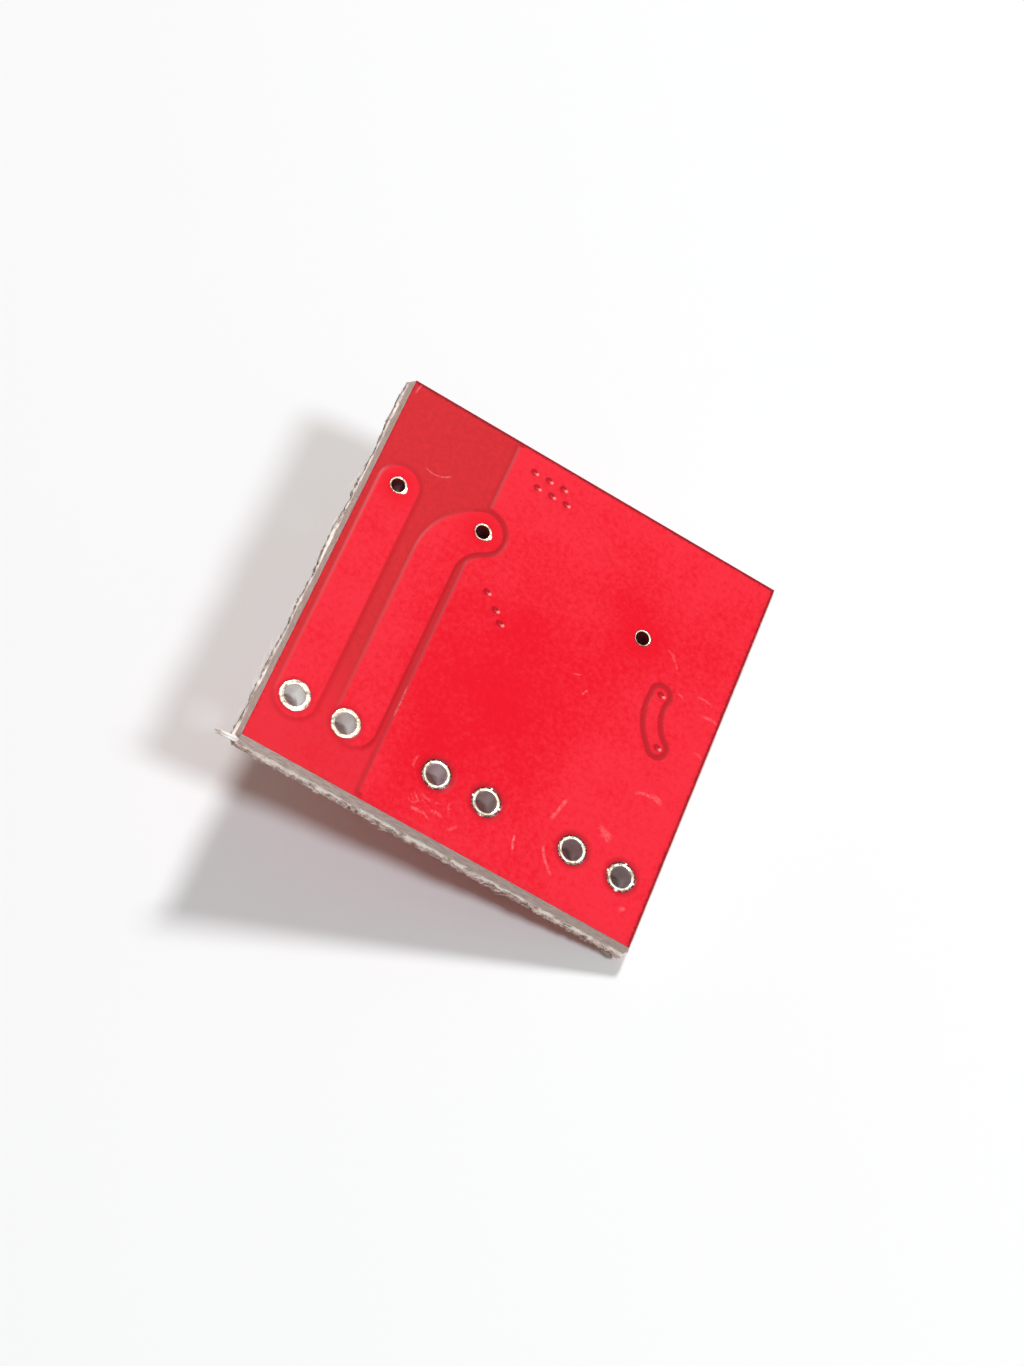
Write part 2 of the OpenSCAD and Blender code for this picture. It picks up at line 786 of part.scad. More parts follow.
module barrel(at, r, back_rim_r, front_rim_r) {
    translate([at[0], at[1], 0]) difference() {
        union() {
            translate([0, 0, -board_t]) cylinder(r = r + plating_t, h = board_t);
            cylinder(r = back_rim_r, h = seat_t);
            translate([0, 0, -board_t - seat_t]) cylinder(r = front_rim_r, h = seat_t);
        }
        translate([0, 0, -board_t - 1]) cylinder(r = r, h = board_t + 2);
    }
}

// Short tinned stubs from a ring to the spokes of a plane
module stubs(at) {
    for (turn = [0:90:270]) translate([at[0], at[1], 0]) rotate([0, 0, turn])
        translate([0, -spoke_w / 2, 0]) difference() {
            intersection() {
                cube([pad_open_r, spoke_w, seat_t]);
                translate([0, spoke_w / 2, 0]) cylinder(r = pad_open_r, h = seat_t);
            }
            translate([0, spoke_w / 2, 0]) cylinder(r = pad_ring_r, h = seat_t);
        }
}

module round_pad(at, rim_r) {
    color("whitesmoke") settle() barrel(at, pad_hole_r, rim_r, pad_ring_r);
}

module spoked_pad(at) {
    color("whitesmoke") settle() {
        barrel(at, pad_hole_r, pad_ring_r, pad_ring_r);
        stubs(at);
        translate([0, 0, -board_t]) mirror([0, 0, 1]) stubs(at);
    }
}

module speaker_plus_pad() {
    round_pad(speaker_pads[0], pad_open_r);
}

module speaker_minus_pad() {
    round_pad(speaker_pads[1], pad_open_r);
}

module supply_plus_pad() {
    round_pad(supply_pads[0], pad_ring_r);
}

module supply_minus_pad() {
    spoked_pad(supply_pads[1]);
}

module microphone_plus_pad() {
    round_pad(microphone_pads[0], pad_ring_r);
}

module microphone_minus_pad() {
    spoked_pad(microphone_pads[1]);
}

module open_via(at) {
    color("whitesmoke") settle() barrel(at, open_via_r, open_via_rim_r, open_via_rim_r);
}

module speaker_plus_via() {
    open_via(plus_via);
}

module speaker_minus_via() {
    open_via(minus_via);
}

module ground_via() {
    open_via(plane_via);
}

module small_vias() {
    color("peru") settle() for (at = concat(plane_vias, jumper_ends))
        translate([at[0], at[1], -board_t]) difference() {
            cylinder(r = small_via_r + plating_t, h = board_t);
            translate([0, 0, -1]) cylinder(r = small_via_r, h = board_t + 2);
        }
}

// Parts on the front, each modelled upright with its lands at z = 0

// Strip of metal bent along points, with rounded bends and square ends
module bent_strip(points, t) {
    for (i = [1:len(points) - 1]) {
        run = points[i] - points[i - 1];
        translate(points[i - 1]) rotate(atan2(run[1], run[0])) translate([0, -t / 2]) square([norm(run), t]);
    }
    for (i = [1:len(points) - 2]) disc(points[i], t / 2);
}

// Gull-wing lead reaching from a body side at y = inner to y = outer
module gull_lead(inner, outer, shoulder_z, foot, w, t) {
    bend = (outer - foot - inner) / 2;
    translate([-w / 2, 0, 0]) rotate([90, 0, 90]) linear_extrude(w)
        bent_strip([[inner, shoulder_z], [inner + bend, shoulder_z], [outer - foot, t / 2], [outer, t / 2]], t);
}

// Moulded body with drafted sides and a flat band where the leads leave it
module moulded_body(l, w, h, gap, band) {
    draft = 0.12;
    low = gap;
    high = gap + h;
    band_low = (low + high - band) / 2;
    band_high = (low + high + band) / 2;
    module side(half) {
        polygon([[-half + draft, low], [half - draft, low], [half, band_low], [half, band_high],
            [half - draft, high], [-half + draft, high], [-half, band_high], [-half, band_low]]);
    }
    intersection() {
        translate([0, w, 0]) rotate([90, 0, 0]) linear_extrude(2 * w) side(l / 2);
        translate([-l, 0, 0]) rotate([90, 0, 90]) linear_extrude(2 * l) side(w / 2);
    }
}

module amplifier_chip_body() {
    dot_r = 0.35;
    dot_depth = 0.08;
    dot_inset = 0.75;
    color("dimgray") settle() mounted(chip_at) difference() {
        moulded_body(chip_l, chip_w, chip_h, chip_gap, lead_t);
        translate([dot_inset - chip_l / 2, chip_w / 2 - dot_inset, chip_gap + chip_h - dot_depth])
            cylinder(r = dot_r, h = 1);
    }
}

module amplifier_chip_leads() {
    color("silver") settle() mounted(chip_at) for (side = [0, 180], i = [-1.5:1.5])
        rotate([0, 0, side]) translate([i * lead_pitch, 0, 0])
            gull_lead(chip_w / 2, chip_span / 2, chip_gap + chip_h / 2, lead_foot, lead_w, lead_t);
}

module bulk_capacitor_can() {
    r = can_d / 2;
    groove_z = base_h + can_groove_r + 0.1;
    color("lightgray") settle() mounted(can_at) translate([0, 0, base_floor]) rotate_extrude()
        difference() {
            union() {
                square([r - can_edge_r, can_h - base_floor]);
                square([r, can_h - base_floor - can_edge_r]);
                disc([r - can_edge_r, can_h - base_floor - can_edge_r], can_edge_r);
            }
            disc([r + can_groove_r - can_groove_depth, groove_z - base_floor], can_groove_r);
        }
}

module bulk_capacitor_base() {
    half = base_w / 2;
    cut = 0.9;
    window = 3;
    slot_gap = 0.02;
    film_proud = max(0, skin_t - seat_t);
    color("darkslategray") settle() mounted(can_at) difference() {
        translate([0, 0, film_proud]) linear_extrude(base_h - film_proud) polygon([[-half + cut, -half], [half, -half], [half, half], [-half + cut, half],
            [-half, half - cut], [-half, cut - half]]);
        translate([0, 0, base_floor]) cylinder(d = can_d + 2 * base_gap, h = base_h);
        translate([-window / 2, -base_w, base_floor]) cube([window, 2 * base_w, base_h]);
        translate([-base_w, -window / 2, base_floor]) cube([2 * base_w, window, base_h]);
        for (side = [-1, 1]) {
            translate([side > 0 ? can_lead_gap - slot_gap : -base_w, -can_lead_w / 2 - slot_gap, 0])
                cube([base_w - can_lead_gap + slot_gap, can_lead_w + 2 * slot_gap, lead_t]);
            translate([side * can_pin_x, 0, -1]) cylinder(r = can_pin_r + slot_gap, h = 2);
        }
    }
}

module bulk_capacitor_leads() {
    reach = can_lead_span / 2 - can_lead_gap;
    color("silver") settle() mounted(can_at) for (side = [0, 180]) rotate([0, 0, side]) {
        translate([can_lead_gap, -can_lead_w / 2, 0]) cube([reach, can_lead_w, lead_t]);
        translate([can_pin_x, 0, 0]) cylinder(r = can_pin_r, h = base_floor);
    }
}

module transistor_body() {
    color("dimgray") settle() mounted(transistor_at)
        moulded_body(transistor_l, transistor_w, transistor_h, transistor_gap, transistor_lead_t);
}

module transistor_leads() {
    color("silver") settle() mounted(transistor_at) for (lead = transistor_leads_at)
        translate([lead[0], 0, 0]) mirror([0, lead[1] < 0 ? 1 : 0, 0])
            gull_lead(transistor_w / 2, transistor_span / 2, transistor_gap + transistor_h / 2,
                transistor_foot, transistor_lead_w, transistor_lead_t);
}

module ceramic_block(size, h) {
    translate([-size[0] / 2 + end_t, -size[1] / 2 + end_t, end_t])
        cube([size[0] - 2 * end_t, size[1] - 2 * end_t, h - 2 * end_t]);
}

module capacitor_body(part, h) {
    color("tan") settle() mounted(part[0], part_turn(part)) ceramic_block(part[2], h);
}

module capacitor_ends(part, h) {
    size = part[2];
    color("silver") settle() mounted(part[0], part_turn(part)) difference() {
        for (x = [-size[0] / 2, size[0] / 2 - size[2]])
            translate([x, -size[1] / 2, 0]) cube([size[2], size[1], h]);
        ceramic_block(size, h);
    }
}

// Resistor: a ceramic slip open at its sides, clipped by an end at each side of its coat
module resistor_slip(size) {
    translate([-size[0] / 2 + end_t, -size[1] / 2, end_t])
        cube([size[0] - 2 * end_t, size[1], resistor_h - 2 * end_t]);
}

module resistor_body(part) {
    color("white") settle() mounted(part[0], part_turn(part)) resistor_slip(part[2]);
}

module resistor_ends(part) {
    size = part[2];
    color("silver") settle() mounted(part[0], part_turn(part)) difference() {
        for (x = [-size[0] / 2, size[0] / 2 - size[2]])
            translate([x, -size[1] / 2, 0]) cube([size[2], size[1], resistor_h]);
        resistor_slip(size);
    }
}

module resistor_coats() {
    inset = 0.03;
    color("black") settle() for (part = resistors) mounted(part[0], part_turn(part)) {
        l = part[2][0] - 2 * part[2][2] - 2 * inset;
        w = part[2][1] - 2 * inset;
        translate([-l / 2, -w / 2, resistor_h - end_t]) cube([l, w, end_t]);
    }
}

module decoupling_capacitor_body() {
    capacitor_body(decoupling_capacitor, large_cap_h);
}

module decoupling_capacitor_ends() {
    capacitor_ends(decoupling_capacitor, large_cap_h);
}

module bias_capacitor_body() {
    capacitor_body(bias_capacitor, large_cap_h);
}

module bias_capacitor_ends() {
    capacitor_ends(bias_capacitor, large_cap_h);
}

module input_capacitor_body() {
    capacitor_body(input_capacitor, small_cap_h);
}

module input_capacitor_ends() {
    capacitor_ends(input_capacitor, small_cap_h);
}

module microphone_capacitor_body() {
    capacitor_body(microphone_capacitor, small_cap_h);
}

module microphone_capacitor_ends() {
    capacitor_ends(microphone_capacitor, small_cap_h);
}

module bypass_capacitor_body() {
    capacitor_body(bypass_capacitor, small_cap_h);
}

module bypass_capacitor_ends() {
    capacitor_ends(bypass_capacitor, small_cap_h);
}

module bias_resistor_body() {
    resistor_body(bias_resistor);
}

module bias_resistor_ends() {
    resistor_ends(bias_resistor);
}

module filter_resistor_body() {
    resistor_body(filter_resistor);
}

module filter_resistor_ends() {
    resistor_ends(filter_resistor);
}

module base_resistor_body() {
    resistor_body(base_resistor);
}

module base_resistor_ends() {
    resistor_ends(base_resistor);
}

module collector_resistor_body() {
    resistor_body(collector_resistor);
}

module collector_resistor_ends() {
    resistor_ends(collector_resistor);
}

module input_resistor_body() {
    resistor_body(input_resistor);
}

module input_resistor_ends() {
    resistor_ends(input_resistor);
}

module feedback_resistor_body() {
    resistor_body(feedback_resistor);
}

module feedback_resistor_ends() {
    resistor_ends(feedback_resistor);
}

// Solder: a coat on every land, and a hollow fillet up the end of each lead or part

module fillet(at_x, r, w) {
    lip = 0.015;
    translate([at_x, w / 2, 0]) rotate([90, 0, 0]) linear_extrude(w) difference() {
        square(r);
        disc([r + lip, r + lip], r);
    }
}

module part_solder(part, fillet_r) {
    mounted(part[0], part_turn(part)) for (side = [0, 180]) rotate([0, 0, side])
        fillet(part[2][0] / 2, fillet_r, part[2][1]);
}

module land_solder(spot) {
    translate([0, 0, seat_z]) linear_extrude(tin_t) difference() {
        land_shape(spot);
        for (at = open_vias) disc(at, open_via_rim_r);
    }
}

module solder() {
    cap_fillet = 0.3;
    resistor_fillet = 0.22;
    toe_fillet = 0.09;
    color("silver") settle() {
        for (spot = all_lands) land_solder(spot);
        for (part = capacitors) part_solder(part, cap_fillet);
        for (part = resistors) part_solder(part, resistor_fillet);
        for (side = [90, 270], i = [-1.5:1.5]) mounted(chip_at) rotate([0, 0, side])
            translate([0, i * lead_pitch, 0]) fillet(chip_span / 2, toe_fillet, lead_w);
        for (side = [0, 180]) mounted(can_at) rotate([0, 0, side])
            fillet(can_lead_span / 2, toe_fillet, can_lead_w);
        for (lead = transistor_leads_at) mounted(transistor_at) translate([lead[0], 0, 0])
            rotate([0, 0, 90 * lead[1]]) fillet(transistor_span / 2, toe_fillet, transistor_lead_w);
    }
}

woven_laminate();
back_plane();
speaker_plus_track();
speaker_minus_track();
jumper_track();
back_solder_mask();
front_plane();
supply_track();
bias_track();
microphone_track();
base_track();
collector_track();
input_track();
feedback_track();
output_track();
bypass_track();
front_solder_mask();
legend();
speaker_plus_pad();
speaker_minus_pad();
supply_plus_pad();
supply_minus_pad();
microphone_plus_pad();
microphone_minus_pad();
speaker_plus_via();
speaker_minus_via();
ground_via();
small_vias();
amplifier_chip_body();
amplifier_chip_leads();
bulk_capacitor_can();
bulk_capacitor_base();
bulk_capacitor_leads();
transistor_body();
transistor_leads();
decoupling_capacitor_body();
decoupling_capacitor_ends();
bias_capacitor_body();
bias_capacitor_ends();
input_capacitor_body();
input_capacitor_ends();
microphone_capacitor_body();
microphone_capacitor_ends();
bypass_capacitor_body();
bypass_capacitor_ends();
bias_resistor_body();
bias_resistor_ends();
filter_resistor_body();
filter_resistor_ends();
base_resistor_body();
base_resistor_ends();
collector_resistor_body();
collector_resistor_ends();
input_resistor_body();
input_resistor_ends();
feedback_resistor_body();
feedback_resistor_ends();
resistor_coats();
solder();
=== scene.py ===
import json
from math import cos, pi, radians, sin

import bpy
import numpy as np
from mathutils import Matrix, Vector
from mathutils.geometry import tessellate_polygon


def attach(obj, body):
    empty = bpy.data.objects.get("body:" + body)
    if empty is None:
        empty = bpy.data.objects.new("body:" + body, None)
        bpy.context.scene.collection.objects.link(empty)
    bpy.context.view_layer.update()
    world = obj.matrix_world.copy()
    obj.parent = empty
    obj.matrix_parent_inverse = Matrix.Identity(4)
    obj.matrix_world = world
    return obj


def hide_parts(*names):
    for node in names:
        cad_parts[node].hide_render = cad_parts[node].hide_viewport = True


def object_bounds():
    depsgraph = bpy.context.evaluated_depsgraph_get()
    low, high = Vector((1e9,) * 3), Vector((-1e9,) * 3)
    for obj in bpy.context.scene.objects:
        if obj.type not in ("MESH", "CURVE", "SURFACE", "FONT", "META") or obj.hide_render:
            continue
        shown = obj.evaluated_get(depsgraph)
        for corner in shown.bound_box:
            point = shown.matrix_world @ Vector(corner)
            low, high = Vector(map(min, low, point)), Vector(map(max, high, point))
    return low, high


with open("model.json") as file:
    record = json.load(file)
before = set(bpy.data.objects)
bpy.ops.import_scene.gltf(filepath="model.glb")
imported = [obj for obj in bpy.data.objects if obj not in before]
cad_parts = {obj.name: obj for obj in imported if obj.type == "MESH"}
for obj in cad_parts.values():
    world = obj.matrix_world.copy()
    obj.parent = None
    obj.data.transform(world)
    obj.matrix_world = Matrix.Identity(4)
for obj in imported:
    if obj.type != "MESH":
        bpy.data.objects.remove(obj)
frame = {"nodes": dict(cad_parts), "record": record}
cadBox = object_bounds()
rng = np.random.default_rng(7)
millimetre = 0.001


board = {
    "side": 19.6,          # both faces are square, in millimetres
    "thickness": 1.6,
    "firstHole": (1.34, 2.78),
    "scoreDepth": 0.5,     # V-score on each face
    "scoreRun": 0.2,
    "skin": 0.06,          # copper and solder mask together
    "ringHeight": 0.055,   # copper and tin together
}

mounts = {m["name"]: m for m in frame["record"]["mounts"]}
firstHole = Vector(mounts["speaker_plus_hole"]["pos_m"])
secondHole = Vector(mounts["speaker_minus_hole"]["pos_m"])
axisX = (secondHole - firstHole).normalized()
axisZ = Vector(mounts["speaker_plus_hole"]["axis"]).normalized()
axisY = axisZ.cross(axisX)
corner = (firstHole - axisX * board["firstHole"][0] * millimetre - axisY * board["firstHole"][1] * millimetre
          + axisZ * board["thickness"] / 2 * millimetre)
turn = np.array([axisX, axisY, axisZ])


def toWorld(points):
    return np.asarray(points, float) @ turn * millimetre + np.array(corner)


def toBoard(points):
    return (np.asarray(points, float) - np.array(corner)) @ turn.T / millimetre


def nodePoints(name):
    mesh = frame["nodes"][name].data
    flat = np.empty(len(mesh.vertices) * 3)
    mesh.vertices.foreach_get("co", flat)
    return toBoard(flat.reshape(-1, 3))


def middleOf(name):
    points = nodePoints(name)
    return (points.min(axis=0) + points.max(axis=0))[:2] / 2


wireHoles = {name: toBoard([m["pos_m"]])[0, :2] for name, m in mounts.items() if m["kind"] == "bore"}
openVias = {name: middleOf(name) for name in ("speaker_plus_via", "speaker_minus_via", "ground_via")}


def clusters(points, gap):
    # middles of groups of points, each group a gap or more away from the others
    middles = []
    left = points
    while len(left):
        inside = np.zeros(len(left), bool)
        front = [0]
        inside[0] = True
        while front:
            near = (np.linalg.norm(left - left[front.pop()], axis=1) < gap) & ~inside
            inside |= near
            front += list(np.flatnonzero(near))
        middles.append((left[inside].min(axis=0) + left[inside].max(axis=0)) / 2)
        left = left[~inside]
    return np.array(middles)


coveredVias = clusters(np.unique(nodePoints("small_vias")[:, :2].round(4), axis=0), 0.15)
print("board axes ready,", len(coveredVias), "covered vias")


def newPiece(name, points, faces, material, smooth=True, inBoard=True):
    mesh = bpy.data.meshes.new(name)
    placed = toWorld(points) if inBoard else np.asarray(points)
    mesh.from_pydata(placed.tolist(), [], [list(map(int, f)) for f in faces])
    mesh.polygons.foreach_set("use_smooth", [smooth] * len(mesh.polygons))
    mesh.materials.append(material)
    mesh.update()
    piece = bpy.data.objects.new(name, mesh)
    bpy.context.scene.collection.objects.link(piece)
    return piece


def pointValues(piece, name, values):
    attribute = piece.data.attributes.new(name, "FLOAT", "POINT")
    attribute.data.foreach_set("value", np.asarray(values, np.float32))


def insideCadBox(points):
    # keeps a ragged edge from growing past the model's own size
    low, high = np.array(cadBox[0]), np.array(cadBox[1])
    return toBoard(np.clip(toWorld(points), low, high))


def hexColour(code):
    channels = [int(code[i:i + 2], 16) / 255 for i in (1, 3, 5)]
    return [c / 12.92 if c <= 0.04045 else ((c + 0.055) / 1.055) ** 2.4 for c in channels] + [1.0]


def addNode(tree, kind, inputs=(), **settings):
    # one node with its settings; each input is a value, hex colour, node or socket, given by place or name
    node = tree.nodes.new("ShaderNode" + kind)
    for key, value in settings.items():
        setattr(node, key, value)
    for socket, source in inputs.items() if isinstance(inputs, dict) else enumerate(inputs):
        if isinstance(source, str):
            source = hexColour(source)
        if isinstance(source, bpy.types.Node):
            source = next(output for output in source.outputs if output.enabled)
        if isinstance(source, bpy.types.NodeSocket):
            tree.links.new(source, node.inputs[socket])
        else:
            node.inputs[socket].default_value = source
    return node


soft = {"interpolation_type": "SMOOTHSTEP"}
rgb = {"data_type": "RGBA"}


def twoTone(tree, pattern, start, end, low, high, shares=(0.0, 1.0)):
    # goes from one colour to the other as the pattern passes from start to end
    share = addNode(tree, "MapRange", (pattern, start, end, *shares), **soft)
    return addNode(tree, "Mix", {0: share, 6: low, 7: high}, **rgb)


def newMaterial(name, **sockets):
    material = bpy.data.materials.new(name)
    material.use_nodes = True
    tree = material.node_tree
    shader = tree.nodes["Principled BSDF"]
    for key, value in sockets.items():
        shader.inputs[key.replace("_", " ")].default_value = value
    return material, tree, shader


def perMillimetre(size):
    # noise scale at which one blotch is about this many millimetres across
    return 1 / (size * millimetre)


def joinSurface(tree, shader, colour, relief=None):
    tree.links.new(colour.outputs[2], shader.inputs["Base Color"])
    if relief is not None:
        tree.links.new(relief.outputs[0], shader.inputs["Normal"])


studio = {
    "imageWidth": 1024,
    "focal": 2856.4,        # in pixels of that width
    "sensor": 36.0,
    "eye": (-14.091, -48.076, 112.237),
    "right": (0.854055, 0.367685, 0.367965),
    "down": (0.485227, -0.818044, -0.308802),
    "lampDistance": 0.7,
    "lampSize": 0.115,
    "keyRun": (-0.325, 0.788, 0.523),    # where the light travels: right, down, forward
    "keyPower": 2.82,
    "keyColour": "#FBFDFF",
    "sideRun": (-0.45, 0.066, 0.891),
    "sidePower": 2.3,
    "sideColour": "#ECF6FF",
    "ambient": 0.225,
    "ambientColour": "#FFECDD",
    "floorColour": "#FAFAF9",
    "floorSize": 3.0,
    "fadeStart": 0.045,     # metres from the board
    "fadeEnd": 0.16,
}

eyeRight = Vector(toWorld([studio["right"]])[0] - np.array(corner)).normalized()
eyeDown = Vector(toWorld([studio["down"]])[0] - np.array(corner)).normalized()
eyeForward = eyeRight.cross(eyeDown)


def placeCamera():
    data = bpy.data.cameras.new("camera")
    data.sensor_fit = "HORIZONTAL"
    data.sensor_width = studio["sensor"]
    data.lens = studio["focal"] * studio["sensor"] / studio["imageWidth"]
    data.clip_start = 0.005
    camera = bpy.data.objects.new("camera", data)
    basis = Matrix((eyeRight, -eyeDown, -eyeForward)).transposed().to_4x4()
    camera.matrix_world = Matrix.Translation(Vector(toWorld([studio["eye"]])[0])) @ basis
    bpy.context.scene.collection.objects.link(camera)
    bpy.context.scene.camera = camera


def placeLamp(name, run, power, colour):
    data = bpy.data.lights.new(name, "AREA")
    data.color = hexColour(colour)[:3]
    data.shape = "DISK"
    data.size = studio["lampSize"]
    data.energy = power
    lamp = bpy.data.objects.new(name, data)
    travel = (eyeRight * run[0] + eyeDown * run[1] + eyeForward * run[2]).normalized()
    lamp.rotation_euler = travel.to_track_quat("-Z", "Y").to_euler()
    lamp.location = -travel * studio["lampDistance"] + Vector((0, 0, 0.004))
    bpy.context.scene.collection.objects.link(lamp)


def seenDirectly(tree):
    # 1 for rays from the camera, off gloss and through glass, 0 for the light that falls on the object
    path = addNode(tree, "LightPath").outputs
    seen = addNode(tree, "Math", (path["Is Camera Ray"], path["Is Glossy Ray"]), operation="MAXIMUM")
    return addNode(tree, "Math", (seen, path["Is Transmission Ray"]), operation="MAXIMUM")


def makeWorld():
    world = bpy.data.worlds.new("softRoom")
    world.use_nodes = True
    bpy.context.scene.world = world
    tree = world.node_tree
    tree.nodes.clear()
    seen = seenDirectly(tree)
    strength = addNode(tree, "MapRange", (seen, 0.0, 1.0, studio["ambient"], 1.0))
    tint = addNode(tree, "Mix", {0: seen, 6: studio["ambientColour"], 7: (1, 1, 1, 1)}, **rgb)
    sky = addNode(tree, "Background", (tint, strength))
    addNode(tree, "OutputWorld", (sky,))


def makeFloor():
    material, tree, shader = newMaterial("matt white paper", Base_Color=hexColour(studio["floorColour"]),
                                         Roughness=0.95, Specular_IOR_Level=0.0)
    # away from the board the paper fades into the white room, also in the metal's reflections
    seen = seenDirectly(tree)
    away = addNode(tree, "VectorMath", (addNode(tree, "TexCoord").outputs["Object"],), operation="LENGTH")
    far = addNode(tree, "MapRange", (away, studio["fadeStart"], studio["fadeEnd"], 0.0, 1.0), **soft)
    share = addNode(tree, "Math", (far, seen), operation="MULTIPLY")
    white = addNode(tree, "Emission", ((1, 1, 1, 1), 1.0))
    mixed = addNode(tree, "MixShader", (share, shader, white))
    tree.links.new(mixed.outputs[0], tree.nodes["Material Output"].inputs["Surface"])
    half = studio["floorSize"] / 2
    floor = newPiece("floor", [(-half, -half, 0), (half, -half, 0), (half, half, 0), (-half, half, 0)],
                     [(0, 1, 2, 3)], material, smooth=False, inBoard=False)


bpy.context.scene.view_settings.view_transform = "Standard"
placeCamera()
placeLamp("keyLamp", studio["keyRun"], studio["keyPower"], studio["keyColour"])
placeLamp("sideLamp", studio["sideRun"], studio["sidePower"], studio["sideColour"])
makeWorld()
makeFloor()
print("camera, lamps and floor placed")


def outlineSegments(names, level):
    # upper edges of the copper's walls at this height, as rows of x1, y1, x2, y2
    segments = set()
    for name in names:
        mesh = frame["nodes"][name].data
        points = np.round(nodePoints(name), 4)
        flat = np.abs(points[:, 2] - level) < 0.004
        for face in mesh.polygons:
            ids = list(face.vertices)
            if flat[ids].all():
                continue
            for i, j in zip(ids, ids[1:] + ids[:1]):
                if flat[i] and flat[j]:
                    a, b = tuple(points[i, :2]), tuple(points[j, :2])
                    if a != b:
                        segments.add(min(a, b) + max(a, b))
    return np.array(sorted(segments))


def signedDistance(points, segments):
    # positive inside the closed outlines
    result = np.empty(len(points))
    a, b = segments[:, :2], segments[:, 2:]
    run = b - a
    length2 = (run ** 2).sum(axis=1)
    for start in range(0, len(points), 4000):
        p = points[start:start + 4000, None, :]
        along = np.clip(((p - a) * run).sum(axis=2) / length2, 0, 1)
        apart = np.linalg.norm(p - a - along[..., None] * run, axis=2).min(axis=1)
        x, y = p[..., 0], p[..., 1]
        spans = (a[:, 1] > y) != (b[:, 1] > y)
        rise = np.where(np.abs(run[:, 1]) < 1e-9, 1e-9, run[:, 1])
        crossing = a[:, 0] + (y - a[:, 1]) * run[:, 0] / rise
        inside = (spans & (x < crossing)).sum(axis=1) % 2 == 1
        result[start:start + 4000] = np.where(inside, apart, -apart)
    return result


def apartFrom(points, places):
    # distance from each point to the nearest of these places
    return np.linalg.norm(points[:, None, :] - np.asarray(places)[None], axis=2).min(axis=1)


def withoutSmallHoles(segments):
    # the copper runs on under the covered vias
    middle = (segments[:, :2] + segments[:, 2:]) / 2
    return segments[apartFrom(middle, coveredVias) > maskLook["dimpleRadius"]]


maskLook = {
    "cells": 270,
    "padOpening": 0.65,       # radii of the openings, in millimetres
    "speakerOpening": 0.66,
    "viaOpening": 0.385,
    "wellRadius": 0.7,        # sunk ring where the opening is wider than the pad
    "wellHeight": 0.012,
    "bareHeight": 0.034,      # over bare laminate
    "copperStep": (-0.16, 0.06),    # the mask climbs onto copper between these distances from its outline
    "speckHeight": 0.02,
    "speckRadius": 0.07,
    "marginWidth": 0.3,       # laminate left bare along the edges of the plane
    "planeLeft": 5.85,
    "wellCollar": (0.68, 0.98, 0.85),    # painted shade ring round a sunk pad: from, to and how dark
    "padCollar": (0.72, 0.95, 0.5),      # and a painted shade ring round every pad
    # painted sheen: a lighter, pinker red laid over the mask in place of a soft reflection
    "hazeMost": 0.8,
    "clearAreas": ((8.8, 7.0, 4.4, 6.5, 0.75), (15.0, 14.0, 4.0, 4.0, 0.35)),    # x, y, spread, and how much of the painted sheen it takes away
    "noiseSizes": (3.0, 0.15, 0.12),     # painted sheen, crumbled rim and skips in the scuffs
    "overCopper": "#E70722",
    "haze": "#F02A3A",
    "overLaminate": "#D6292F",
    "laminateMottle": "#BF222B",
    "besideCopper": "#B41020",
    "nearVias": "#E80620",
    "rim": "#8A141C",
    "pit": "#A40016",
    "glint": "#FF9C96",
    "well": "#3A1210",
    "scuff": "#FC8C8E",
    "roughness": 0.5,
    "gloss": 0.13,
    "dimpleRadius": 0.2,
    "dimpleDepth": 0.053,
    "glintShift": (0.19, -0.02),
    "peelSize": 0.24,         # orange peel, drawn twice as coarse as real so that it shows
    "peelDepth": 0.009,
    "rimShare": (0.35, 0.9, 1.0, 0.5),   # how dark the mask's edge is on each side: bottom, right, top, left
}

